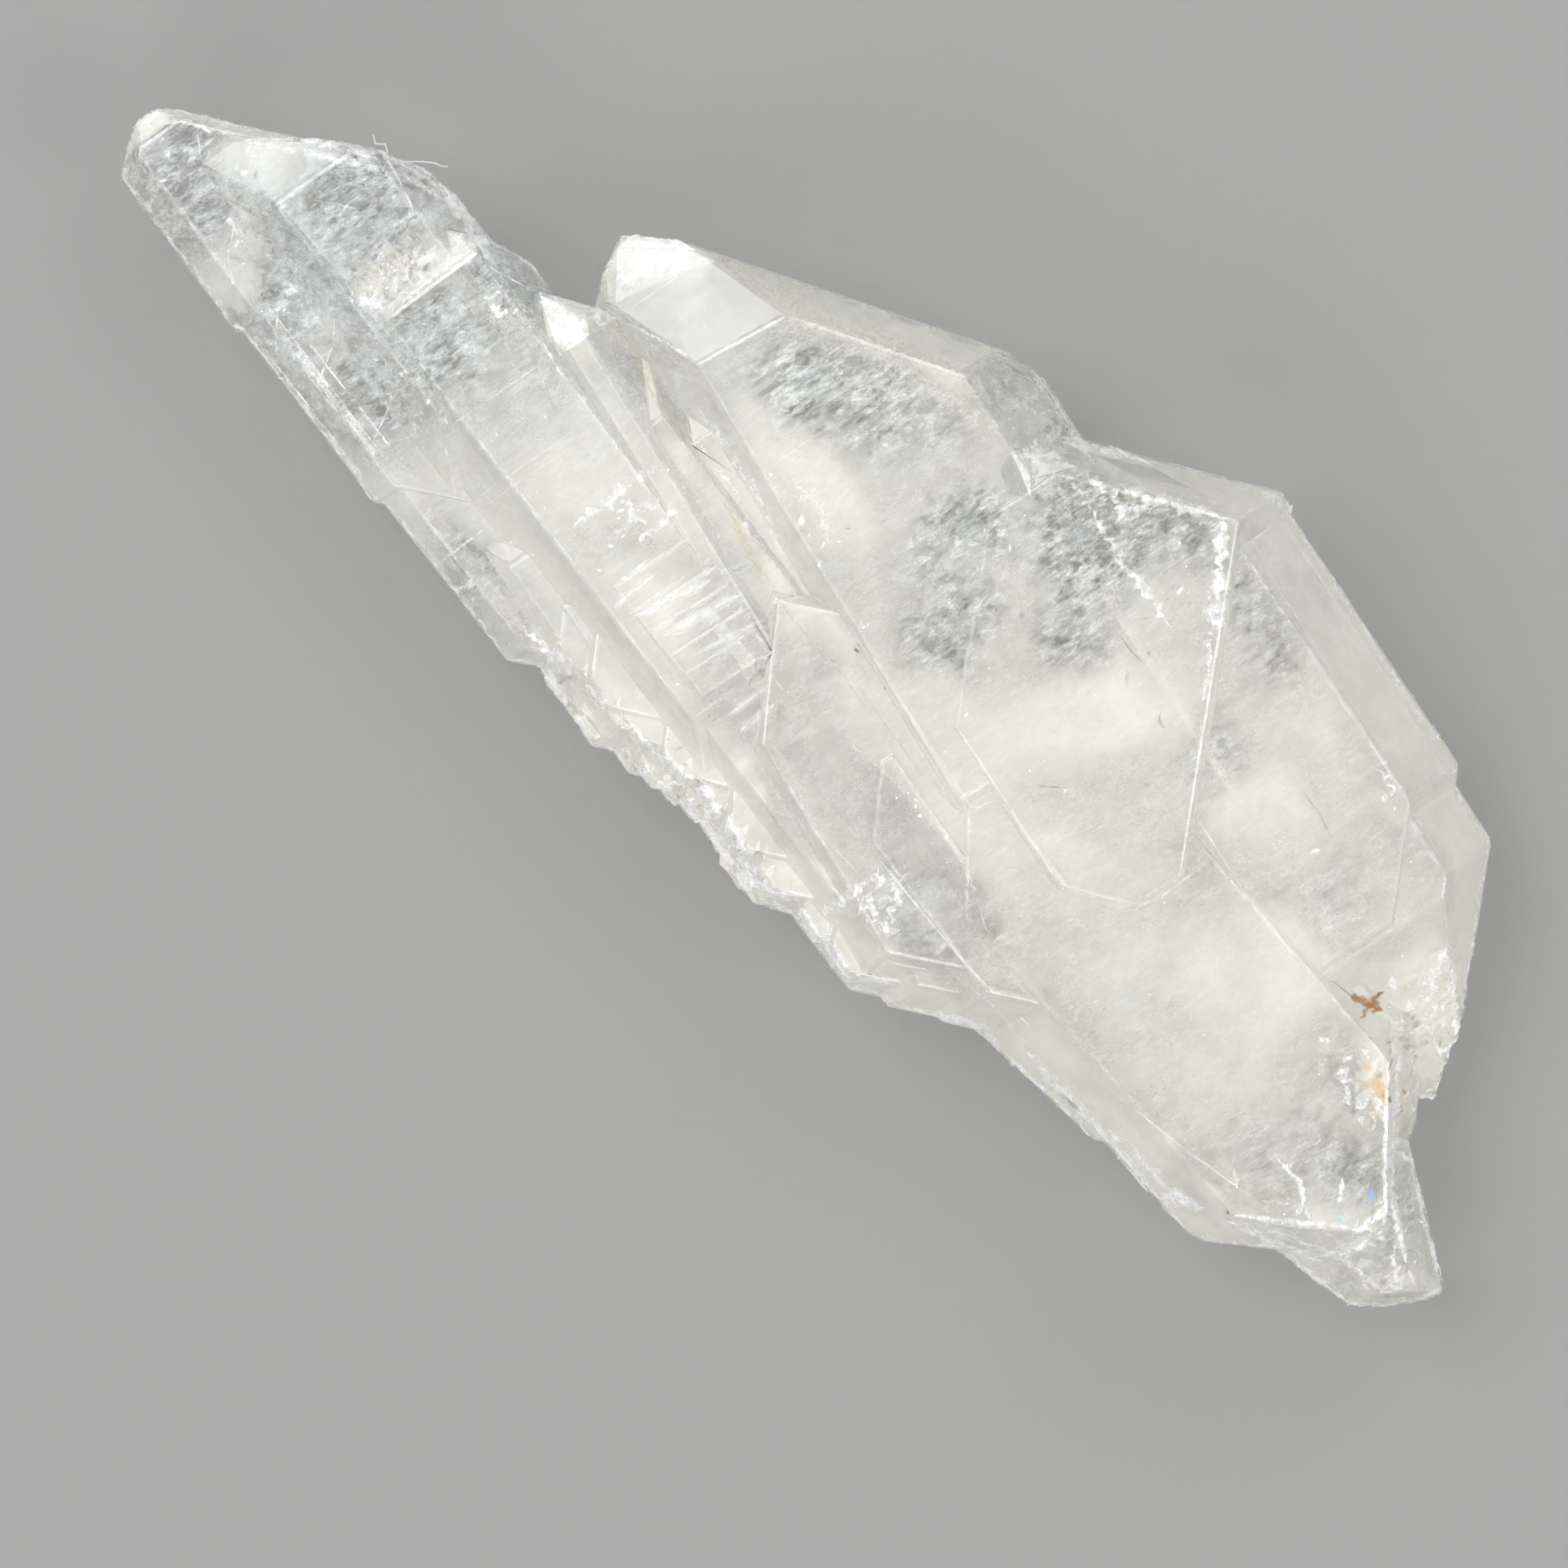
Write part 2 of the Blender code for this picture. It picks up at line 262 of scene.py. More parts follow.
FLAT = 0.9995  # cosine between two normals of what counts as one flat face
SMALLEST_FACE = 1e-6
WEAKEST_DIRECTION = 0.2  # of the strongest: a direction that the faces hardly differ in is left out
FURTHEST_SINK = 3.0  # times the depth


def inward_move(vert):
    """The move that takes a vertex 1 mm in from every face around it, as near as can be."""
    normals = []
    for face in vert.link_faces:
        if face.calc_area() > SMALLEST_FACE and all(face.normal.dot(other) < FLAT for other in normals):
            normals.append(face.normal.copy())
    if not normals:
        return Vector((0, 0, 0))
    if len(normals) == 1:
        return -normals[0]
    move = -np.linalg.pinv(np.array(normals), rcond=WEAKEST_DIRECTION) @ np.ones(len(normals))
    reach = np.linalg.norm(move)
    return Vector(move * min(1, FURTHEST_SINK / reach)) if reach > 0 else Vector((0, 0, 0))


def sink(shape, depths):
    """Moves every vertex inward by its own depth, all from where they first stood."""
    shape.normal_update()
    moves = [inward_move(vert) for vert in shape.verts]
    for vert, move, depth in zip(shape.verts, moves, depths):
        vert.co += move * depth


def crystal_mesh():
    """The cluster's outer surface: flat clear faces, worn edges and the crinkled chips."""
    mesh = worn_solid("clear_crystals", *CRYSTAL_WEAR)
    shape = bmesh.new()
    shape.from_mesh(mesh)
    cut_chipped_places(shape)
    bmesh.ops.triangulate(shape, faces=shape.faces)
    points = np.array([vert.co for vert in shape.verts])
    sink(shape, chip_depth(points))
    shape.to_mesh(mesh)
    shape.free()
    return mesh


# ---------------------------------------------------------------- milkiness and painted rim glow


# Soft patches of the plan, as (x, y, half length, half width, turn in degrees, how much milkier).
MILKY_PATCHES = (
    (-21.4, -7.8, 1.2, 1.0, 0, 0.30),
    (-19.8, -10.4, 2.0, 0.9, 0, 0.15),
    (-13.5, -5.2, 1.6, 1.2, 0, 0.15),
    (-6.6, -3.2, 1.6, 0.8, 0, 0.20),
    (-5.0, -1.6, 5.0, 0.6, 0, 0.22),
    (3.0, -7.0, 6.0, 0.9, 8, 0.30),
    (8.5, -6.2, 2.0, 0.9, 30, 0.25),
    (18.8, 6.2, 1.8, 1.8, -40, 0.40),
    (15.0, 10.6, 2.4, 0.8, -10, 0.25),
    (18.5, 3.9, 1.2, 0.8, 0, 0.15),
    (21.8, 1.4, 1.6, 0.9, 30, 0.30),
    (18.5, -1.9, 2.2, 0.7, 12, 0.20),
    (-22.3, -8.4, 1.2, 1.2, 40, 0.30),
    (-20.0, -10.6, 1.1, 1.1, 0, 0.38),
    (-16.8, -6.4, 0.9, 2.0, 6, 0.20),
    (-16.4, -9.4, 1.3, 0.6, 0, 0.26),
    (-18.0, -4.8, 3.0, 0.5, 5, 0.36),
    (-11.6, -9.6, 1.2, 1.0, 0, 0.13),
    (-9.4, -5.2, 1.4, 2.2, 8, 0.16),
    (-7.8, -4.4, 0.8, 1.4, 0, 0.08),
    (-4.4, -5.4, 1.6, 0.8, 4, 0.15),
    (-4.5, -7.0, 4.0, 1.6, 5, 0.10),
    (-2.2, -8.9, 1.6, 0.5, 12, 0.34),
    (-13.3, 0.0, 0.9, 1.6, 0, 0.50),
    (-24.6, -10.6, 0.4, 1.2, 0, 0.30),
    (-13.2, -3.3, 0.9, 0.7, 0, 0.47),
    (-5.4, 0.2, 2.4, 1.1, 8, 0.26),
    (-2.2, -2.2, 1.6, 0.8, 0, 0.19),
    (4.9, 3.2, 1.2, 3.0, -14, 0.27),
    (3.0, -0.6, 4.5, 1.6, 0, 0.13),
    (9.8, 7.0, 2.4, 2.6, -30, 0.19),
    (13.8, 3.6, 2.4, 1.7, 15, 0.29),
    (17.0, 7.0, 1.5, 1.3, 0, 0.30),
    (19.6, 6.1, 0.8, 0.6, 0, 0.30),
    (8.6, 0.8, 1.6, 0.8, 0, 0.10),
    (9.8, -5.6, 2.0, 0.8, 30, 0.17),
    (19.8, -1.4, 3.0, 0.7, 28, 0.17),
    (21.7, 0.7, 0.9, 0.6, 20, 0.26),
    (24.6, 2.0, 0.6, 1.6, -20, 0.26),
    (-8.0, 4.0, 4.6, 0.45, 31, 0.21),
    (-11.2, -2.8, 2.2, 0.8, 0, 0.14),
    (-15.4, -9.5, 1.6, 0.7, -20, 0.14),
    (-11.2, -8.0, 2.6, 0.9, 0, 0.12),
    (19.5, 3.2, 0.7, 0.7, 0, 0.24),
    (15.8, 5.8, 1.2, 1.2, 0, 0.14),
    (13.2, 10.2, 1.4, 0.6, 0, 0.14),
    (-0.5, -6.5, 2.6, 0.6, 0, 0.12),
)
# Clearer patches, as the milky ones above, with how much clearer.
CLEAR_PATCHES = (
    (-17.5, -9.6, 1.0, 0.7, 0, 0.20),
    (-8.3, 0.9, 0.9, 0.8, 0, 0.12),
    (-6.0, 3.0, 1.4, 1.0, 20, 0.15),
    (8.4, 6.2, 1.2, 1.6, -30, 0.25),
    (12.5, 7.0, 2.0, 1.6, 0, 0.12),
    (13.5, 3.0, 3.0, 1.2, 0, 0.10),
    (4.8, 2.2, 0.9, 2.4, -14, 0.12),
    (-23.6, -10.8, 1.6, 1.2, 0, 0.21),
    (-19.3, -6.4, 1.5, 1.1, 0, 0.27),
    (-14.8, -6.6, 1.3, 1.4, 0, 0.28),
    (-14.6, -8.9, 1.6, 0.9, 0, 0.24),
    (-18.0, -9.5, 1.2, 1.0, 20, 0.24),
    (-15.0, -3.7, 1.2, 0.5, 0, 0.28),
    (-9.0, -9.5, 1.6, 0.6, 3, 0.33),
    (-6.2, -9.6, 1.2, 0.5, 3, 0.28),
    (-11.2, -1.6, 1.5, 0.6, -5, 0.19),
    (-7.7, 1.9, 1.1, 1.2, 20, 0.40),
    (-5.6, 3.9, 1.8, 0.9, 20, 0.32),
    (-1.9, 3.6, 1.0, 1.0, 0, 0.57),
    (0.2, 6.4, 1.9, 1.5, -30, 0.68),
    (0.2, 1.4, 1.0, 1.4, 40, 0.38),
    (2.7, 4.4, 1.0, 1.4, 20, 0.38),
    (-6.6, 1.2, 1.0, 0.7, 0, 0.14),
    (2.0, 8.5, 1.7, 1.2, 30, 0.43),
    (-2.6, 7.6, 1.6, 0.6, 0, 0.66),
    (5.4, 9.3, 1.6, 0.8, -10, 0.25),
    (7.6, 6.6, 1.2, 0.6, -45, 0.25),
    (9.4, 4.6, 1.0, 0.6, -45, 0.11),
    (6.4, -2.7, 2.6, 0.7, 4, 0.32),
    (7.6, -4.2, 1.8, 0.6, 10, 0.32),
    (3.2, -6.9, 1.2, 0.5, 5, 0.19),
    (12.5, 9.6, 2.4, 1.2, 0, 0.10),
    (18.2, 4.5, 1.6, 1.0, 0, 0.22),
    (-7.0, 2.0, 1.8, 1.4, 20, 0.16),
    (13.0, 4.4, 3.2, 1.6, 10, 0.12),
    (7.5, 8.5, 3.4, 0.9, -10, 0.12),
    (10.5, 7.8, 1.2, 1.0, 0, 0.12),
    (20.4, 2.6, 1.5, 1.3, 0, 0.14),
    (14.0, -1.8, 4.0, 0.8, 6, 0.10),
)

# How milky the quartz is along X where no patch changes it, as (x, milkiness).
MILK_ALONG_X = (
    (-25, 0.14),
    (-15, 0.18),
    (-12.0, 0.50),
    (-8, 0.60),
    (0, 0.52),
    (6, 0.60),
    (17, 0.60),
    (19, 0.42),
    (21, 0.30),
    (25, 0.30),
)

# Where growth rays across the c axis show, as the patches above.
RAY_PATCHES = (
    (-10.0, -5.2, 3.0, 2.4, 0, 0.8),
    (-7.5, 1.6, 2.6, 1.8, 12, 0.9),
    (-12.0, 0.4, 1.5, 1.2, 0, 0.5),
    (-4.0, -4.6, 2.4, 1.6, 0, 0.5),
    (-0.4, -4.8, 0.9, 0.9, 0, 0.7),
    (11.0, 8.5, 5.0, 2.4, -8, 0.4),
)

LEAST_MILK = 0.03
WANDER = ((0.4, 1.2), (1.3, 0.55))  # (how finely the noise repeats, how far it moves a point)
DRIFT_SCALE = 0.45
DRIFT_OCTAVES = 4
DRIFT_STRENGTH = 0.10

RIM_LINE_INSET = 0.12
# A painted rim glow: the quartz is made milkier, and so whiter, near its outline.
RIM_GLOW_ALONG_X = ((-25, 0.20), (-14, 0.20), (-10, 0.26), (20, 0.26), (21.5, 0.10))
RIM_GLOW_REACH = 1.3
RIM_STEP = 0.2
CLEAR_SIDE_LEAN = 0.4  # how far the clear long sides lean to +Y
CLEAR_SIDE_SPAN = (-12.5, 2.5)  # where they run along X


def at_x(x, pairs):
    """The value at x between (x, value) pairs."""
    return np.interp(x, *zip(*pairs))


def wandering(points):
    """The points moved about by up to a millimetre, so that soft patches get uneven outlines."""
    moved = points
    for scale, reach in WANDER:
        moved = moved + reach * np.array([noise.noise_vector(Vector(point) * scale) for point in points])
    return moved


def rim_lines():
    """(line just inside the outline, whether it is one of the clear long sides) for each rim edge."""
    shape = solid_in_mm()
    low, high = CLEAR_SIDE_SPAN
    lines = []
    for edge in shape.edges:
        if is_rim(edge) and edge.calc_length() > SHORTEST_WORN_EDGE:
            outward = sum((face.normal for face in edge.link_faces), Vector()).to_2d().normalized()
            start, end = [vert.co.to_2d() - outward * RIM_LINE_INSET for vert in edge.verts]
            is_clear = outward.y > CLEAR_SIDE_LEAN and low < (start.x + end.x) / 2 < high
            lines.append(((start, end), is_clear))
    shape.free()
    return lines


def painted_rim_glow(points):
    """A painted rim glow: how much milkier, and so whiter, the quartz is made towards its outline, leaving
    out the clear long sides.
    """
    places = []
    for (start, end), is_clear in rim_lines():
        if not is_clear:
            count = int((end - start).length / RIM_STEP) + 1
            places += [start.lerp(end, number / count) for number in range(count + 1)]
    tree = KDTree(len(places))
    for number, place in enumerate(places):
        tree.insert((*place, 0), number)
    tree.balance()
    far = np.array([tree.find((x, y, 0))[2] for x, y, _ in points])
    return at_x(points[:, 0], RIM_GLOW_ALONG_X) * np.clip(1 - far / RIM_GLOW_REACH, 0, 1)


def milk_and_rim_glow(points):
    """How milky the quartz is at each point, 0 to 1, with the painted rim glow added."""
    places = [Vector(point) * DRIFT_SCALE for point in points]
    drift = np.array([noise.fractal(place, 1.0, 2.0, DRIFT_OCTAVES) for place in places])
    moved = wandering(points)
    patches = patch_sum(moved, MILKY_PATCHES) - patch_sum(moved, CLEAR_PATCHES)
    level = at_x(points[:, 0], MILK_ALONG_X) + patches + painted_rim_glow(moved)
    return np.clip(level + DRIFT_STRENGTH * drift, LEAST_MILK, 1)


def store_milk_and_glow(mesh, milk_and_glow):
    """Keeps how milky a mesh is, with its painted glow and sheen, and where its growth rays show."""
    store(mesh, "milk_and_glow", milk_and_glow)
    store(mesh, "rays", np.clip(patch_sum(points_of(mesh), RAY_PATCHES), 0, 1))


# ---------------------------------------------------------------- milky skin, with painted sheen and glow


SKIN_DEPTH = 0.08
SKIN_CELLS = (0.3, 0.3, 0.45)  # along each axis
CUT_LOW = Vector((-25.4, -12.2, 0.0))  # the corners of a box just round the solid
CUT_HIGH = Vector((25.4, 12.2, 7.1))

# Painted sheen on the end faces that look left, and painted glow on the steep sides, as extra milkiness.
END_FACE_SHEEN = 0.24
END_FACE_LEAN = (-0.5, 0.3)  # an end face's normal has less than this along X, and more than this along Z
CLEAR_SIDE_MILK = -0.35
SIDE_GLOW_ALONG_X = ((-25, 0.15), (-14, 0.18), (-9, 0.30), (-4, 0.35), (4, 0.60), (20, 0.60), (21, 0.30))
STEEP = 0.7  # how far a face may look up and still count as a side


def cut_to_cells(shape):
    """Cuts every face by planes a cell apart, so that its vertices can carry soft values."""
    for axis, step in enumerate(SKIN_CELLS):
        for count in range(1, int((CUT_HIGH[axis] - CUT_LOW[axis]) / step) + 1):
            everything = shape.verts[:] + shape.edges[:] + shape.faces[:]
            bisect(shape, everything, axis, CUT_LOW[axis] + step * count)


def face_milk_and_sheen(vert):
    """How much milkier the quartz is made on the small end faces that look left, as a painted sheen, and on
    the steep sides, as a painted glow.
    """
    normal = vert.normal
    if normal.x < END_FACE_LEAN[0] and normal.z > END_FACE_LEAN[1]:
        return END_FACE_SHEEN
    if normal.y > CLEAR_SIDE_LEAN and vert.co.x < CLEAR_SIDE_SPAN[1]:
        return CLEAR_SIDE_MILK
    return at_x(vert.co.x, SIDE_GLOW_ALONG_X) * max(0.0, 1 - abs(normal.z) / STEEP)


def skin_mesh():
    """The crystals' surface moved a little way in, finely divided, with its milkiness, painted sheen and
    painted glow on its vertices.
    """
    mesh = worn_solid("milky_skin", *SKIN_WEAR)
    shape = bmesh.new()
    shape.from_mesh(mesh)
    bmesh.ops.triangulate(shape, faces=shape.faces)
    cut_to_cells(shape)
    bmesh.ops.triangulate(shape, faces=shape.faces)
    extra = np.array([face_milk_and_sheen(vert) for vert in shape.verts])
    points = np.array([vert.co for vert in shape.verts])
    sink(shape, SKIN_DEPTH + chip_depth(points))
    shape.to_mesh(mesh)
    shape.free()
    store_milk_and_glow(mesh, np.clip(milk_and_rim_glow(points_of(mesh)) + extra, LEAST_MILK, 1))
    return mesh


# ---------------------------------------------------------------- deeper clouds


CLOUD_DEPTHS = (0.55, 1.5)
CLOUD_VOXEL = 0.25
CLOUD_BAND = 3.6  # how far inside the surface its distance is measured
CLOUD_THINNING = 1.6  # the power that keeps the deeper milk to the milkiest places


def inset_nodes(depth):
    """Geometry nodes that turn a closed mesh into the surface at this depth inside it."""
    tree = bpy.data.node_groups.new("inset", "GeometryNodeTree")
    for direction in ("INPUT", "OUTPUT"):
        tree.interface.new_socket("Geometry", in_out=direction, socket_type="NodeSocketGeometry")
    start, end = tree.nodes.new("NodeGroupInput"), tree.nodes.new("NodeGroupOutput")
    fill = tree.nodes.new("GeometryNodeMeshToVolume")
    fill.resolution_mode = "VOXEL_SIZE"
    set_inputs(fill, Voxel_Size=CLOUD_VOXEL, Interior_Band_Width=CLOUD_BAND)
    skin = put(tree, "GeometryNodeVolumeToMesh", Threshold=depth / CLOUD_BAND)
    tree.links.new(start.outputs[0], fill.inputs["Mesh"])
    tree.links.new(fill.outputs[0], skin.inputs["Volume"])
    tree.links.new(skin.outputs[0], end.inputs[0])
    return tree


def cloud_mesh(name, depth):
    """A closed shell of milk that follows the solid's surface at this depth."""
    nodes = inset_nodes(depth)
    shell = with_modifier(mesh_of(solid_in_mm(), name), "NODES", {"node_group": nodes})
    bpy.data.node_groups.remove(nodes)
    store_milk_and_glow(shell, milk_and_rim_glow(points_of(shell)) ** CLOUD_THINNING)
    for face in shell.polygons:
        face.use_smooth = True
    return shell


# ---------------------------------------------------------------- strips, spots and veils


MARK_SINK = 0.03  # how far under the surface strips and spots lie
FEWEST_STATIONS = 4
TAPER = 6.0  # a strip is as wide as it gets past a sixth of its length from either end
NARROWEST = 0.12  # of its width, at its tips
SHAKE_ASIDE = 0.3  # times the strip's width and its roughness, as the next
SHAKE_DEEPER = 0.25
STRIP_EDGE_LOSS = 0.7  # how much less dense a strip is along its sides
SPOT_RINGS = ((0.55, 0.8), (1.0, 0.0))  # (how far out the ring is, how dense the spot is there)
SPOT_UNEVENNESS = (0.65, 1.2)
FILM_SINK = 0.04
FILM_ROWS = 8
FAR_ABOVE = 20.0  # where rays down to the front faces start


def front_surface():
    """The search tree of the solid's surface, to find the front face over any point of the plan."""
    shape = solid_in_mm()
    bmesh.ops.triangulate(shape, faces=shape.faces)
    tree = BVHTree.FromBMesh(shape)
    shape.free()
    return tree


def height_at(front, x, y):
    """The front face's height over (x, y), or nothing where the plan is empty."""
    place = front.ray_cast(Vector((x, y, FAR_ABOVE)), Vector((0, 0, -1)))[0]
    return place.z if place else None


def stations(line, step):
    """(point, direction, share of the way) every step or so along a polyline in the plan."""
    corners = [Vector(corner) for corner in line]
    lengths = [(end - start).length for start, end in zip(corners, corners[1:])]
    total = sum(lengths)
    count = max(FEWEST_STATIONS, int(total / step))
    found = []
    for number in range(count + 1):
        left = total * number / count
        for start, end, length in zip(corners, corners[1:], lengths):
            if left <= length or end is corners[-1]:
                place = start.lerp(end, min(1, left / length))
                found.append((place, (end - start).normalized(), number / count))
                break
            left -= length
    return found


class Marks:
    """Strips, spots and veils in one mesh, each with its colour and how dense it is at each vertex."""

    def __init__(self, front):
        self.front = front
        self.chance = random.Random(SEED)
        self.shape = bmesh.new()
        self.tints = []
        self.densities = []

    def vertex(self, x, y, sink, tint, density):
        """A new vertex just under the front surface, or nothing beside it."""
        height = height_at(self.front, x, y)
        if height is None:
            return None
        self.tints.append((*tint, 1))
        self.densities.append(density)
        return self.shape.verts.new((x, y, height - sink))

    def face(self, *verts):
        if all(verts):
            self.shape.faces.new(verts)

    def strip(self, line, width, tint, density, rough, rows=4, step=0.12):
        """A strip along a line, tapered at both ends. Roughness shakes its outline and its surface."""
        before = None
        for centre, ahead, share in stations(line, step):
            side = Vector((-ahead.y, ahead.x))
            taper = min(1, TAPER * share, TAPER * (1 - share)) * self.chance.uniform(1 - rough, 1 + rough)
            aside = self.chance.gauss(0, SHAKE_ASIDE * rough * width)
            row = []
            for number in range(rows + 1):
                across = number / rows - 0.5
                spot = centre + side * (across * width * max(NARROWEST, taper) + aside)
                deeper = MARK_SINK + abs(self.chance.gauss(0, SHAKE_DEEPER * rough * width))
                strength = density * (1 - (2 * across) ** 2 * STRIP_EDGE_LOSS)
                row.append(self.vertex(spot.x, spot.y, deeper, tint, strength))
            if before:
                for number in range(rows):
                    self.face(before[number], row[number], row[number + 1], before[number + 1])
            before = row

    def spot(self, x, y, length, width, turn, tint, density, corners=11):
        """A patch with an uneven outline, densest in the middle."""
        angle = math.radians(turn)
        ahead = Vector((math.cos(angle), math.sin(angle))) * (0.5 * length)
        side = Vector((-math.sin(angle), math.cos(angle))) * (0.5 * width)
        middle = self.vertex(x, y, MARK_SINK, tint, density)
        rings = []
        for reach, share in SPOT_RINGS:
            ring = []
            for number in range(corners):
                bearing = 2 * math.pi * number / corners
                far = reach * self.chance.uniform(*SPOT_UNEVENNESS)
                place = Vector((x, y)) + far * (ahead * math.cos(bearing) + side * math.sin(bearing))
                ring.append(self.vertex(place.x, place.y, MARK_SINK, tint, share * density))
            rings.append(ring)
        inner, outer = rings
        for number in range(corners):
            following = (number + 1) % corners
            self.face(middle, inner[number], inner[following])
            self.face(inner[number], outer[number], outer[following], inner[following])

    def film(self, corners, tint):
        """A thin veil with crisp straight sides, shading between its (x, y, density) corners; the facets'
        painted highlights and painted shade are made of these.
        """
        corners = [Vector(corner) for corner in corners]
        middle = sum(corners, Vector((0, 0, 0))) / len(corners)
        for start, end in zip(corners, corners[1:] + corners[:1]):
            self.film_slice(middle, start - middle, end - middle, tint)

    def film_slice(self, middle, ahead, side, tint):
        """A finely divided triangle of a veil. Its third coordinate is the density."""
        before = []
        for row in range(FILM_ROWS + 1):
            verts = []
            for number in range(row + 1):
                x, y, density = middle + (ahead * (row - number) + side * number) / FILM_ROWS
                verts.append(self.vertex(x, y, FILM_SINK, tint, density))
            for left in range(row):
                self.face(before[left], verts[left], verts[left + 1])
                if left:
                    self.face(before[left - 1], verts[left], before[left])
            before = verts

    def finish(self, name):
        mesh = mesh_of(self.shape, name)
        tint = mesh.attributes.new("tint", "FLOAT_COLOR", "POINT")
        tint.data.foreach_set("color", np.array(self.tints, np.float32).ravel())
        store(mesh, "cover", self.densities)
        return mesh


# ---------------------------------------------------------------- fractures, flecks and stains


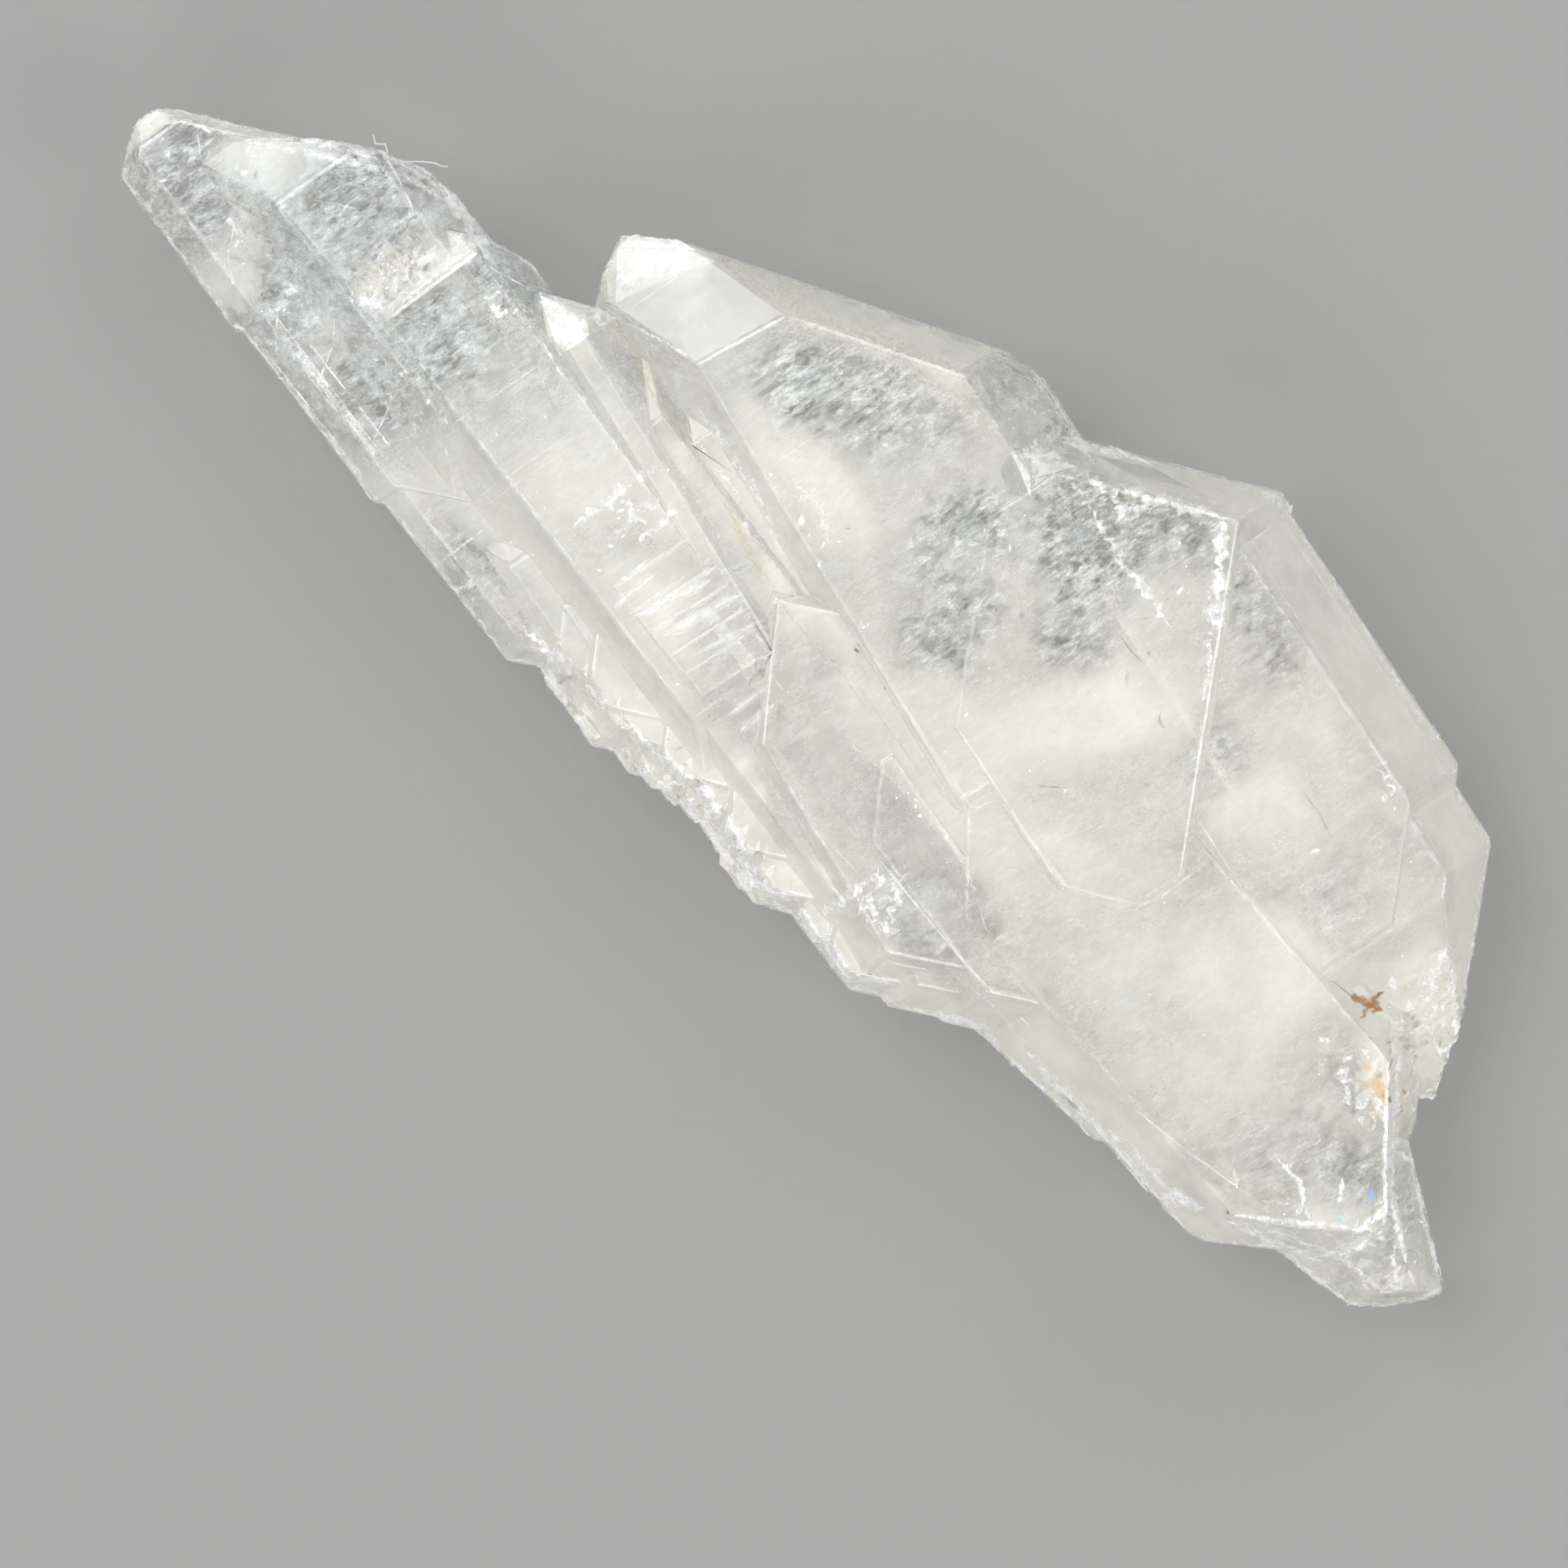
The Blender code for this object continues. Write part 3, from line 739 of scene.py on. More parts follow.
# Healed and open fractures, as (points of the plan, width, density, roughness).
FRACTURES = (
    (((-25.0, -9.8), (-25.05, -10.8), (-24.55, -11.7)), 0.42, 0.95, 0.2),
    (((-24.9, -9.6), (-24.1, -8.75), (-23.0, -7.9)), 0.16, 0.8, 0.5),
    (((2.3, 10.0), (3.0, 9.45), (3.6, 9.1)), 0.34, 1.0, 0.5),
    (((3.4, 9.2), (4.67, 8.15), (5.5, 7.45)), 0.42, 1.0, 0.7),
    (((5.3, 7.6), (6.1, 7.0), (6.6, 6.4)), 0.16, 0.6, 0.6),
    (((-2.55, 6.4), (-1.6, 6.85), (-0.9, 7.25), (0.6, 7.75)), 0.26, 1.0, 0.7),
    (((-0.4, 6.85), (1.5, 6.8), (2.9, 6.9), (4.2, 6.9)), 0.24, 0.85, 0.9),
    (((-2.5, 5.9), (-2.1, 6.6), (-1.95, 7.3)), 0.14, 0.9, 0.6),
    (((-1.4, 8.35), (-0.7, 8.75), (-0.1, 9.1)), 0.12, 0.9, 0.5),
    (((-2.7, 7.4), (-2.0, 7.7), (-1.2, 7.6)), 0.2, 0.9, 0.8),
    (((5.5, -4.2), (5.7, -5.3), (5.7, -6.2), (6.7, -7.0)), 0.3, 1.0, 0.8),
    (((5.6, -4.3), (6.3, -4.1), (6.8, -4.7)), 0.3, 0.9, 0.9),
    (((5.9, -4.8), (6.6, -5.1), (7.3, -5.0)), 0.18, 0.8, 0.8),
    (((22.2, 0.35), (22.6, 1.3), (22.62, 2.48)), 0.32, 1.0, 0.4),
    (((19.7, -1.33), (21.2, -0.4), (22.6, 0.6)), 0.20, 0.9, 0.4),
    (((22.6, 2.48), (21.5, 3.4), (20.33, 4.17)), 0.16, 0.9, 0.5),
    (((-2.17, 7.28), (-1.65, 7.82), (-0.37, 9.0)), 0.22, 1.0, 0.3),
    (((0.3, 7.5), (0.59, 7.66), (1.0, 7.75)), 0.34, 1.0, 0.9),
    (((22.25, 2.75), (21.7, 3.4), (20.9, 3.95)), 0.16, 0.9, 0.5),
    (((18.9, 1.0), (20.05, 1.17), (21.2, 0.72)), 0.16, 0.9, 0.6),
    (((18.64, -0.25), (19.17, -0.49)), 0.12, 0.9, 0.5),
    (((20.6, 2.3), (21.2, 1.8)), 0.14, 0.9, 0.5),
    (((17.6, 4.4), (18.2, 3.9), (18.9, 3.6)), 0.3, 0.9, 0.9),
    (((18.6, 4.9), (19.3, 4.4), (19.9, 3.8)), 0.26, 0.9, 0.9),
    (((16.4, 8.9), (17.2, 7.8), (18.2, 7.1), (19.6, 6.6)), 0.28, 0.9, 0.9),
    (((17.0, 8.6), (18.2, 7.9), (19.0, 7.5)), 0.2, 0.9, 0.8),
    (((17.4, 6.4), (18.3, 6.2), (19.2, 5.9)), 0.22, 0.8, 0.9),
    (((16.2, 6.9), (16.9, 6.6)), 0.2, 0.8, 0.8),
    (((11.0, 9.8), (11.6, 9.75), (12.2, 9.7)), 0.2, 0.9, 0.9),
    (((-16.45, -4.2), (-16.35, -5.6), (-16.2, -7.6)), 0.14, 0.85, 0.35),
    (((-14.3, -4.1), (-13.2, -4.05), (-11.7, -4.15)), 0.08, 0.7, 0.4),
    (((-9.35, -8.5), (-9.3, -9.3), (-9.25, -10.1)), 0.08, 0.9, 0.4),
    (((-8.1, -3.2), (-8.05, -4.6), (-7.95, -6.4)), 0.26, 0.8, 0.9),
    (((-7.3, -3.4), (-7.2, -4.4), (-7.05, -5.2)), 0.3, 0.8, 0.9),
    (((-6.7, -3.2), (-6.6, -4.2), (-6.5, -5.0)), 0.16, 0.8, 0.9),
    (((-5.9, -4.9), (-5.85, -6.1)), 0.1, 0.8, 0.5),
    (((-12.2, -1.7), (-11.0, -1.0), (-9.9, -0.55)), 0.1, 0.8, 0.4),
    (((-9.0, -1.25), (-6.0, -1.15), (-3.0, -1.7)), 0.2, 0.7, 0.9),
    (((-8.4, -1.9), (-6.4, -1.7), (-4.6, -2.0)), 0.16, 0.7, 0.9),
    (((-5.6, -0.1), (-4.4, 0.2), (-3.2, -0.3)), 0.3, 0.6, 0.9),
    (((0.2, -7.3), (2.1, -7.15), (3.8, -7.45), (4.9, -7.2)), 0.3, 0.9, 0.8),
    (((-2.6, -8.2), (-1.0, -7.9), (0.4, -7.7)), 0.22, 0.8, 0.8),
    (((-6.4, -9.2), (-5.2, -8.9), (-4.2, -9.0)), 0.16, 0.8, 0.8),
    (((1.0, -3.2), (3.0, -2.6), (5.0, -2.0), (7.0, -2.05), (9.0, -2.6)), 0.07, 0.35, 0.9),
    (((20.7, -0.3), (22.3, -0.1), (23.9, 0.25), (25.0, 1.9), (25.0, 3.0)), 0.16, 0.9, 0.5),
    (((25.0, 3.1), (23.0, 3.9), (21.3, 4.3), (20.4, 3.9)), 0.16, 0.9, 0.6),
    (((21.6, 1.0), (22.9, 1.3), (24.2, 1.1)), 0.12, 0.7, 0.9),
    (((22.9, 3.4), (23.4, 2.3), (24.3, 1.9)), 0.14, 0.7, 0.9),
    (((9.2, -4.1), (10.6, -3.6), (12.2, -3.35)), 0.08, 0.6, 0.5),
    (((-24.6, -9.9), (-24.2, -9.2), (-23.6, -8.9)), 0.16, 0.9, 0.4),
    (((-23.8, -9.3), (-23.3, -9.55)), 0.08, 0.9, 0.3),
    (((-21.0, -4.95), (-19.7, -5.0), (-18.3, -5.15)), 0.1, 0.9, 0.5),
    (((-19.2, -3.95), (-17.6, -4.1), (-16.4, -4.25)), 0.12, 0.9, 0.5),
    (((-21.1, -9.7), (-20.2, -10.6), (-19.2, -10.9)), 0.07, 0.8, 0.6),
    (((-18.9, -8.7), (-18.6, -9.7), (-17.6, -10.6)), 0.06, 0.8, 0.6),
    (((-17.3, -8.6), (-16.4, -9.3), (-15.6, -10.4)), 0.06, 0.8, 0.6),
    (((-14.6, -8.1), (-13.9, -9.0), (-13.3, -9.9)), 0.06, 0.7, 0.6),
)

# Clusters of small white flecks, as (x, y, half length, half width, turn in degrees, how many, fleck size).
FLECK_CLUSTERS = (
    (-7.4, -4.8, 0.9, 1.7, 6, 26, 0.22),
    (-13.2, -3.3, 0.5, 0.4, 0, 7, 0.2),
    (-22.3, -8.5, 0.3, 0.6, 40, 7, 0.30),
    (-21.1, -9.9, 0.4, 0.3, 0, 5, 0.26),
    (-19.0, -10.1, 1.6, 0.9, 0, 18, 0.16),
    (-22.9, -10.9, 1.2, 0.8, 0, 10, 0.14),
    (-17.2, -6.7, 0.7, 1.5, 8, 24, 0.20),
    (-14.8, -8.4, 0.5, 0.4, 0, 5, 0.20),
    (-8.2, -9.9, 0.45, 0.2, 0, 8, 0.30),
    (-5.2, -8.9, 1.3, 0.4, 8, 14, 0.20),
    (-2.4, 6.6, 0.5, 0.7, 0, 14, 0.22),
    (0.4, 7.8, 0.7, 0.4, 30, 12, 0.20),
    (3.0, 7.9, 1.0, 0.7, -40, 10, 0.14),
    (4.7, 8.1, 0.9, 0.3, -40, 14, 0.18),
    (6.3, -4.8, 1.0, 0.7, -20, 26, 0.22),
    (4.4, -2.4, 2.6, 0.4, 8, 20, 0.14),
    (1.6, -7.5, 2.2, 0.35, 4, 24, 0.22),
    (-4.6, -0.4, 2.2, 0.9, 0, 18, 0.18),
    (-1.0, -0.7, 0.3, 0.25, 0, 4, 0.22),
    (17.9, 7.1, 1.5, 1.1, -40, 34, 0.24),
    (18.4, 4.2, 1.0, 0.7, -20, 26, 0.22),
    (11.6, 9.7, 0.8, 0.3, -10, 12, 0.18),
    (13.6, 9.4, 1.6, 1.3, 0, 12, 0.12),
    (16.3, -2.5, 0.4, 0.3, 20, 6, 0.22),
    (20.6, 0.9, 1.2, 0.7, 0, 12, 0.16),
    (23.2, 2.2, 1.2, 1.3, 0, 16, 0.18),
    (12.0, 1.0, 6.5, 5.0, 0, 26, 0.09),
    (0.0, 3.0, 7.0, 4.0, 0, 40, 0.10),
    (-12.0, -7.5, 9.0, 2.4, 5, 46, 0.11),
)

# Clusters of small dark glints, painted shade where chips turn the light away, as the white flecks above.
GLINT_CLUSTERS = (
    (18.3, 6.4, 1.1, 1.2, 0, 20, 0.30),
    (18.7, 4.3, 1.0, 0.7, -20, 14, 0.26),
    (23.0, 2.3, 1.5, 1.4, 0, 22, 0.28),
    (21.6, 2.6, 1.0, 0.6, -20, 8, 0.30),
    (3.2, 8.6, 1.6, 0.5, -40, 10, 0.22),
    (-17.2, -6.6, 0.8, 1.6, 8, 12, 0.26),
    (-20.5, -9.6, 3.6, 1.4, 0, 26, 0.24),
    (-2.2, 6.7, 0.7, 0.8, 0, 8, 0.26),
    (2.0, -7.3, 3.0, 0.4, 4, 16, 0.24),
    (-4.5, -9.0, 2.0, 0.4, 8, 10, 0.22),
    (1.0, 3.4, 5.0, 3.0, 10, 26, 0.16),
)

# Growth lines, and painted highlights along the edges of steps and crystals, as (points of the plan, width,
# density).
GROWTH_AND_HIGHLIGHT_LINES = (
    (((-12.5, 1.5), (-12.45, -1.4)), 0.06, 0.55),
    (((-9.95, 1.7), (-9.9, -0.4)), 0.05, 0.5),
    (((-9.4, 2.1), (-9.35, -0.1)), 0.05, 0.35),
    (((-8.1, 3.7), (-8.05, -0.1)), 0.06, 0.45),
    (((-6.3, 2.6), (-6.25, -0.4)), 0.05, 0.4),
    (((-12.5, -4.3), (-12.4, -8.2)), 0.06, 0.45),
    (((-10.3, -4.6), (-10.2, -9.0)), 0.05, 0.3),
    (((-9.95, -4.8), (-9.9, -8.4)), 0.05, 0.3),
    (((-5.44, -5.03), (-5.27, -6.57)), 0.30, 0.55),
    (((-4.9, -4.3), (-4.85, -6.4)), 0.14, 0.5),
    (((-4.4, -3.70), (-4.68, -6.2)), 0.34, 0.6),
    (((-4.0, -3.4), (-4.1, -6.0)), 0.10, 0.45),
    (((-3.59, -3.19), (-3.76, -5.8)), 0.38, 0.6),
    (((-3.1, -3.1), (-3.2, -5.5)), 0.12, 0.5),
    (((-2.55, -2.92), (-2.81, -5.39)), 0.20, 0.5),
    (((-0.85, -3.91), (-0.74, -5.56)), 0.26, 0.6),
    (((-0.32, -4.14), (-0.15, -5.43)), 0.30, 0.6),
    (((-0.9, -1.0), (1.3, -1.0), (5.5, -0.93), (5.67, -0.08)), 0.14, 0.4),
    (((5.67, -0.08), (8.96, 0.14), (10.56, 1.55), (10.7, 2.4), (10.6, 4.3)), 0.15, 0.45),
    (((9.05, 4.5), (11.9, 4.47), (14.6, 4.7)), 0.08, 0.5),
    (((6.6, 6.4), (8.4, 5.2), (9.05, 4.5)), 0.07, 0.4),
    (((14.3, -2.15), (17.2, -1.2), (19.9, -0.15)), 0.08, 0.55),
    (((8.4, 10.1), (10.6, 10.0), (14.8, 9.9)), 0.07, 0.4),
    (((2.7, 11.0), (3.3, 11.0), (3.35, 9.8)), 0.10, 0.75),
    (((3.2, 11.45), (8.5, 11.5), (12.8, 11.4)), 0.06, 0.6),
    (((2.9, 10.4), (5.2, 10.2), (8.2, 10.2)), 0.07, 0.5),
    (((-5.0, 7.65), (-3.4, 7.75), (-2.1, 7.7)), 0.06, 0.8),
    (((-8.9, 5.2), (-6.4, 6.6), (-4.4, 7.5)), 0.05, 0.6),
    (((0.1, 8.3), (1.2, 9.1), (2.3, 9.9)), 0.07, 0.7),
    (((5.3, -4.05), (7.5, -3.8), (9.5, -3.55), (10.7, -3.3)), 0.11, 0.7),
    (((1.5, -4.9), (3.6, -5.1), (5.2, -4.8)), 0.06, 0.35),
)

WHITE = (0.97, 0.97, 0.96)
SOFT_WHITE = (0.93, 0.93, 0.90)
PALE_BLUE = (0.90, 0.93, 0.93)
IVORY = (0.95, 0.94, 0.88)
GREY = (0.36, 0.38, 0.38)
# The next two colours are painted shade, for dark facet films, spots and glints.
SHADE_SMOKE = (0.47, 0.46, 0.43)
SHADE_SLATE = (0.27, 0.29, 0.30)
RUST = (0.42, 0.19, 0.05)
ORANGE = (0.78, 0.53, 0.26)
OCHRE = (0.70, 0.58, 0.42)
BEIGE = (0.84, 0.79, 0.70)
DARK = (0.10, 0.09, 0.08)

# Painted highlights and painted shade on facets that catch or lose the light through the quartz, as (colour,
# corners as (x, y, density)).
LIT_AND_SHADED_FACETS = (
    (
        PALE_BLUE, (-22.99, -9.8, 0.15), (-23.2, -9.03, 0.2), (-22.88, -7.87, 0.12), (-22.04, -6.89, 0.2),
        (-20.71, -5.84, 0.28), (-20.73, -8.4, 0.36),
    ),
    (PALE_BLUE, (-22.99, -9.8, 0.15), (-20.73, -8.4, 0.36), (-22.34, -10.13, 0.2)),
    (
        IVORY, (-24.47, -11.33, 0.3), (-24.95, -11.3, 0.7), (-24.99, -9.93, 0.8), (-24.83, -9.46, 0.7),
        (-23.89, -8.55, 0.3), (-24.55, -9.64, 0.1),
    ),
    (
        PALE_BLUE, (-20.73, -8.4, 0.4), (-17.82, -8, 0.3), (-17.63, -7.84, 0.2), (-18.6, -7, 0),
        (-20.6, -7.6, 0),
    ),
    (
        GREY, (-20.73, -8.5, 0.35), (-17.82, -8.1, 0.4), (-14.67, -7.66, 0.3), (-17.8, -8.9, 0),
        (-20.4, -9.4, 0),
    ),
    (
        IVORY, (-17.63, -7.84, 0.1), (-16.76, -4.48, 0.4), (-16.24, -4.25, 0.8), (-16.05, -7.35, 0.22),
        (-16.19, -7.83, 0.1),
    ),
    (
        WHITE, (-14.2, -0.68, 0.95), (-13, 1, 0.95), (-12.25, 1.54, 0.8), (-12.74, -0.71, 0.45),
        (-12.82, -1.63, 0.6),
    ),
    (
        WHITE, (-12.82, -1.63, 0.15), (-12.74, -0.71, 0.15), (-12.25, 1.54, 0.1), (-9.62, 2.24, 0.05),
        (-9.9, -0.44, 0.1),
    ),
    (WHITE, (-14.2, -0.62, 1), (-14.3, -0.21, 1), (-14.18, 0.51, 1), (-13.89, 0.78, 1), (-12.84, 1.24, 1)),
    (
        WHITE, (-14.25, -3.39, 0.9), (-13.05, -2.51, 0.9), (-12.43, -2.8, 0.8), (-12.39, -3.88, 0.9),
        (-13.52, -3.59, 0.9),
    ),
    (
        GREY, (-16.4, -4.06, 0.4), (-16.22, -3.6, 0.4), (-15.27, -3.19, 0.4), (-14, -2.93, 0.4),
        (-14.18, -3.9, 0.4), (-15.53, -4.05, 0.4),
    ),
    (IVORY, (-2.55, 6.38, 0.7), (-1.4, 6.97, 0.6), (-1.73, 5.84, 0.8)),
    (WHITE, (-2.74, 5.79, 0.4), (-2.55, 6.29, 0.5), (-1.28, 5.52, 0.7)),
    (
        GREY, (-2.71, 5.74, 0.5), (-2.13, 5.71, 0.45), (-1.26, 5.46, 0.4), (-1.73, 5.04, 0.45),
        (-2.46, 5.2, 0.5),
    ),
    (GREY, (-1.39, 7.77, 0.35), (-0.04, 9.07, 0.4), (1.14, 9.73, 0.3), (-0.08, 8.52, 0.3)),
    (
        SHADE_SMOKE, (0.9, -4.8, 0.25), (1.17, -3.05, 0.35), (3, -2.6, 0.45), (4.82, -2.27, 0.5),
        (6.32, -2.07, 0.52), (8.3, -2.38, 0.45), (9.6, -3.3, 0.25), (6, -3.9, 0.22),
    ),
    (
        SHADE_SMOKE, (6.4, -4.45, 0.4), (8.2, -4.3, 0.4), (10, -3.95, 0.2), (9.3, -4.5, 0.1), (8, -5.1, 0.2),
        (6.7, -5, 0.35),
    ),
)

# Coloured lines, as (points of the plan, width, colour, density, roughness).
STAINED_LINES = (
    (((16.2, 5.45), (16.75, 5.75), (17.15, 6.0)), 0.26, RUST, 1.0, 0.6),
    (((16.65, 6.35), (16.8, 5.8), (16.95, 5.3)), 0.19, RUST, 1.0, 0.6),
    (((15.55, 5.2), (16.1, 5.4), (16.6, 5.6)), 0.06, RUST, 0.8, 0.5),
    (((18.5, 4.95), (19.0, 4.65), (19.6, 4.6)), 0.20, ORANGE, 0.7, 0.9),
    (((-12.6, -2.2), (-9.5, -2.15), (-6.4, -2.1), (-3.0, -2.35)), 0.10, OCHRE, 0.55, 0.8),
    (((-12.4, -2.05), (-10.8, -1.9), (-9.6, -2.0)), 0.22, OCHRE, 0.28, 0.9),
    (((-5.4, -2.3), (-4.2, -2.4), (-3.2, -2.45)), 0.09, OCHRE, 0.8, 0.8),
    (((-13.0, 1.35), (-9.5, 3.0), (-6.0, 4.7), (-2.9, 5.95)), 0.50, BEIGE, 0.42, 0.6),
    (((-17.4, -5.4), (-17.3, -6.8), (-17.1, -8.2)), 1.0, BEIGE, 0.6, 0.6),
    (((-13.6, -2.3), (-13.4, -1.4), (-12.6, -1.9)), 0.40, BEIGE, 0.45, 0.6),
    (((-0.15, 7.88), (1.11, 8.89), (2.35, 10.01)), 0.34, IVORY, 0.85, 0.6),
    (((-9.75, 2.21), (-8.18, 3.94), (-6.99, 4.71), (-5.01, 6.0), (-3.84, 6.24)), 0.45, BEIGE, 0.5, 0.5),
    (((5.9, 1.0), (6.4, 1.6)), 0.05, DARK, 0.55, 0.5),
    (((3.5, 5.5), (4.1, 5.55), (4.7, 5.65)), 0.04, DARK, 0.5, 0.4),
    (((10.4, 7.55), (11.2, 7.6), (12.05, 7.5)), 0.04, DARK, 0.45, 0.4),
    (((6.1, 5.3), (6.4, 5.1), (6.6, 5.2)), 0.14, DARK, 0.5, 0.9),
)

# Coloured spots of rust, dirt and thin films, and grey spots of painted shade, as (x, y, length, width, turn
# in degrees, colour, density).
STAIN_AND_SHADE_SPOTS = (
    (16.75, 5.85, 0.70, 0.42, 30, RUST, 1.0),
    (18.95, 4.65, 1.1, 0.7, -10, ORANGE, 0.8),
    (18.3, 4.7, 0.7, 0.4, 10, ORANGE, 0.35),
    (19.5, 4.1, 0.5, 0.5, 0, ORANGE, 0.3),
    (18.6, 4.35, 0.6, 0.4, 20, ORANGE, 0.4),
    (19.45, 4.75, 0.3, 0.24, 0, RUST, 0.7),
    (19.55, 5.27, 0.22, 0.16, 0, RUST, 0.95),
    (-0.3, -1.25, 0.26, 0.13, 20, DARK, 0.95),
    (-0.42, -1.12, 0.12, 0.10, 0, DARK, 0.8),
    (1.08, -1.16, 0.12, 0.10, 0, DARK, 0.7),
    (19.61, -1.09, 0.16, 0.12, 0, DARK, 0.75),
    (14.5, -3.2, 0.8, 0.16, 15, GREY, 0.7),
    # Painted shade: grey spots where the clear quartz looks darker.
    (0.4, 6.1, 1.9, 1.1, 20, SHADE_SLATE, 0.45),
    (-1.6, 3.6, 1.3, 1.5, 60, SHADE_SLATE, 0.35),
    (2.8, 6.2, 1.6, 0.9, 100, SHADE_SLATE, 0.25),
    (-7.8, 2.1, 1.6, 0.9, 110, SHADE_SLATE, 0.30),
    (-2.6, 7.5, 1.2, 0.5, 10, SHADE_SLATE, 0.45),
    (-18.6, -6.5, 1.8, 0.8, 90, SHADE_SLATE, 0.30),
    (-17.8, -9.9, 1.2, 1.0, 0, SHADE_SLATE, 0.30),
    (-15.0, -6.9, 1.8, 1.2, 30, SHADE_SLATE, 0.20),
    # Painted shade: darker streaks between the lit growth steps.
    (-4.0, -5.0, 1.2, 0.3, 95, SHADE_SMOKE, 0.35),
    (-3.2, -4.4, 1.4, 0.3, 95, SHADE_SMOKE, 0.35),
    (-0.55, -4.7, 1.2, 0.3, 95, SHADE_SMOKE, 0.35),
    (-20.6, -9.7, 0.14, 0.1, 0, DARK, 0.3),
    (21.5, 2.75, 0.55, 0.32, -20, (0.30, 0.55, 0.95), 0.65),
    (21.95, 2.62, 0.34, 0.18, -20, (0.95, 0.62, 0.30), 0.6),
    (21.55, 1.65, 0.40, 0.20, 40, (0.35, 0.85, 0.90), 0.5),
    (12.8, -0.1, 0.5, 0.22, 30, (0.45, 0.65, 0.95), 0.28),
    (11.9, -0.4, 0.5, 0.22, 30, (0.95, 0.70, 0.45), 0.28),
)

RIDGE_INSET = 0.06
SHORTEST_RIDGE = 0.8
FRONT_LEAN = 0.98  # a front face's normal looks up by more than this
RIDGE_SIDE_LEAN = (0, 0.9)  # and the face beside it looks up by this much
BRIGHT_POINT_AREA = (19.3, -1.6, 23.0, 4.4)  # low x, low y, high x, high y

# White strips along the rim and the ridges: partly bruised quartz, partly painted highlights.
RIM_STRIP_WIDTHS = (0.18, 0.34)
RIM_STRIP_DENSITIES = (0.7, 1.0)
CLEAR_SIDE_DENSITIES = (0.15, 0.4)
RIM_STRIP_ROUGHNESS = 0.35
RIDGE_WIDTHS = (0.09, 0.18)
RIDGE_DENSITIES = (0.10, 0.40)
BRIGHT_RIDGE = (0.26, 1.0)  # width, density
RIDGE_ROUGHNESS = 0.25
LONG_STEP = 0.2  # between the rows of the strips along edges
LINE_SPACING = 0.25
LINE_ROUGHNESS = 0.15

STREWN = 0.5  # most spots of a cluster lie within this share of its half length
SIZE_SPREAD = 0.5
SPOT_NARROWNESS = (0.25, 0.8)
SPOT_DENSITIES = (0.5, 1.0)
SPOT_TURNS = (40, 150)
SPOT_CORNERS = 7
GLINT_DENSITY = 0.65  # of the densest ones
FLECK_DENSITY = 1.0


def ridge_lines():
    """(line just inside a front face's convex edge, whether it is at the bright point) for each."""
    shape = solid_in_mm()
    low_x, low_y, high_x, high_y = BRIGHT_POINT_AREA
    lowest, highest = RIDGE_SIDE_LEAN
    lines = []
    for edge in shape.edges:
        if len(edge.link_faces) != 2 or not edge.is_convex or edge.calc_length() < SHORTEST_RIDGE:
            continue
        side, front = sorted(edge.link_faces, key=lambda face: face.normal.z)
        if front.normal.z > FRONT_LEAN and lowest < side.normal.z < highest:
            inward = -side.normal.to_2d().normalized() * RIDGE_INSET
            start, end = [vert.co.to_2d() + inward for vert in edge.verts]
            middle = (start + end) / 2
            is_bright = low_x < middle.x < high_x and low_y < middle.y < high_y
            lines.append(((start, end), is_bright))
    shape.free()
    return lines


def scatter(marks, clusters, tint, most):
    """Small spots strewn over clusters, the densest one as dense as most."""
    chance = marks.chance
    for x, y, half_length, half_width, turn, count, size in clusters:
        angle = math.radians(turn)
        for _ in range(count):
            along = chance.gauss(0, STREWN) * half_length
            across = chance.gauss(0, STREWN) * half_width
            spot_x = x + along * math.cos(angle) - across * math.sin(angle)
            spot_y = y + along * math.sin(angle) + across * math.cos(angle)
            length = size * chance.lognormvariate(0, SIZE_SPREAD)
            width = length * chance.uniform(*SPOT_NARROWNESS)
            density = most * chance.uniform(*SPOT_DENSITIES)
            spot_turn = chance.uniform(*SPOT_TURNS)
            marks.spot(spot_x, spot_y, length, width, spot_turn, tint, density, SPOT_CORNERS)


def bruises_and_edge_highlights(marks):
    """Bruises along the rim and along the ridges of the front faces, white strips that are also painted
    highlights for the glow of these edges.
    """
    chance = marks.chance
    for line, is_clear in rim_lines():
        density = chance.uniform(*(CLEAR_SIDE_DENSITIES if is_clear else RIM_STRIP_DENSITIES))
        width = chance.uniform(*RIM_STRIP_WIDTHS)
        marks.strip(line, width, WHITE, density, RIM_STRIP_ROUGHNESS, rows=2, step=LONG_STEP)
    for line, is_bright in ridge_lines():
        width, density = BRIGHT_RIDGE
        if not is_bright:
            width = chance.uniform(*RIDGE_WIDTHS)
            density = chance.uniform(*RIDGE_DENSITIES)
        marks.strip(line, width, WHITE, density, RIDGE_ROUGHNESS, rows=2, step=LONG_STEP)


def fracture_and_highlight_mesh(front):
    """Bruised edges with painted highlights, fractures and flecks, white where they scatter the light, and
    painted dark glints.
    """
    marks = Marks(front)
    bruises_and_edge_highlights(marks)
    for line, width, density, rough in FRACTURES:
        marks.strip(line, width, WHITE, density, rough)
    scatter(marks, GLINT_CLUSTERS, SHADE_SLATE, GLINT_DENSITY)
    scatter(marks, FLECK_CLUSTERS, WHITE, FLECK_DENSITY)
    return marks.finish("fractures_and_painted_light")


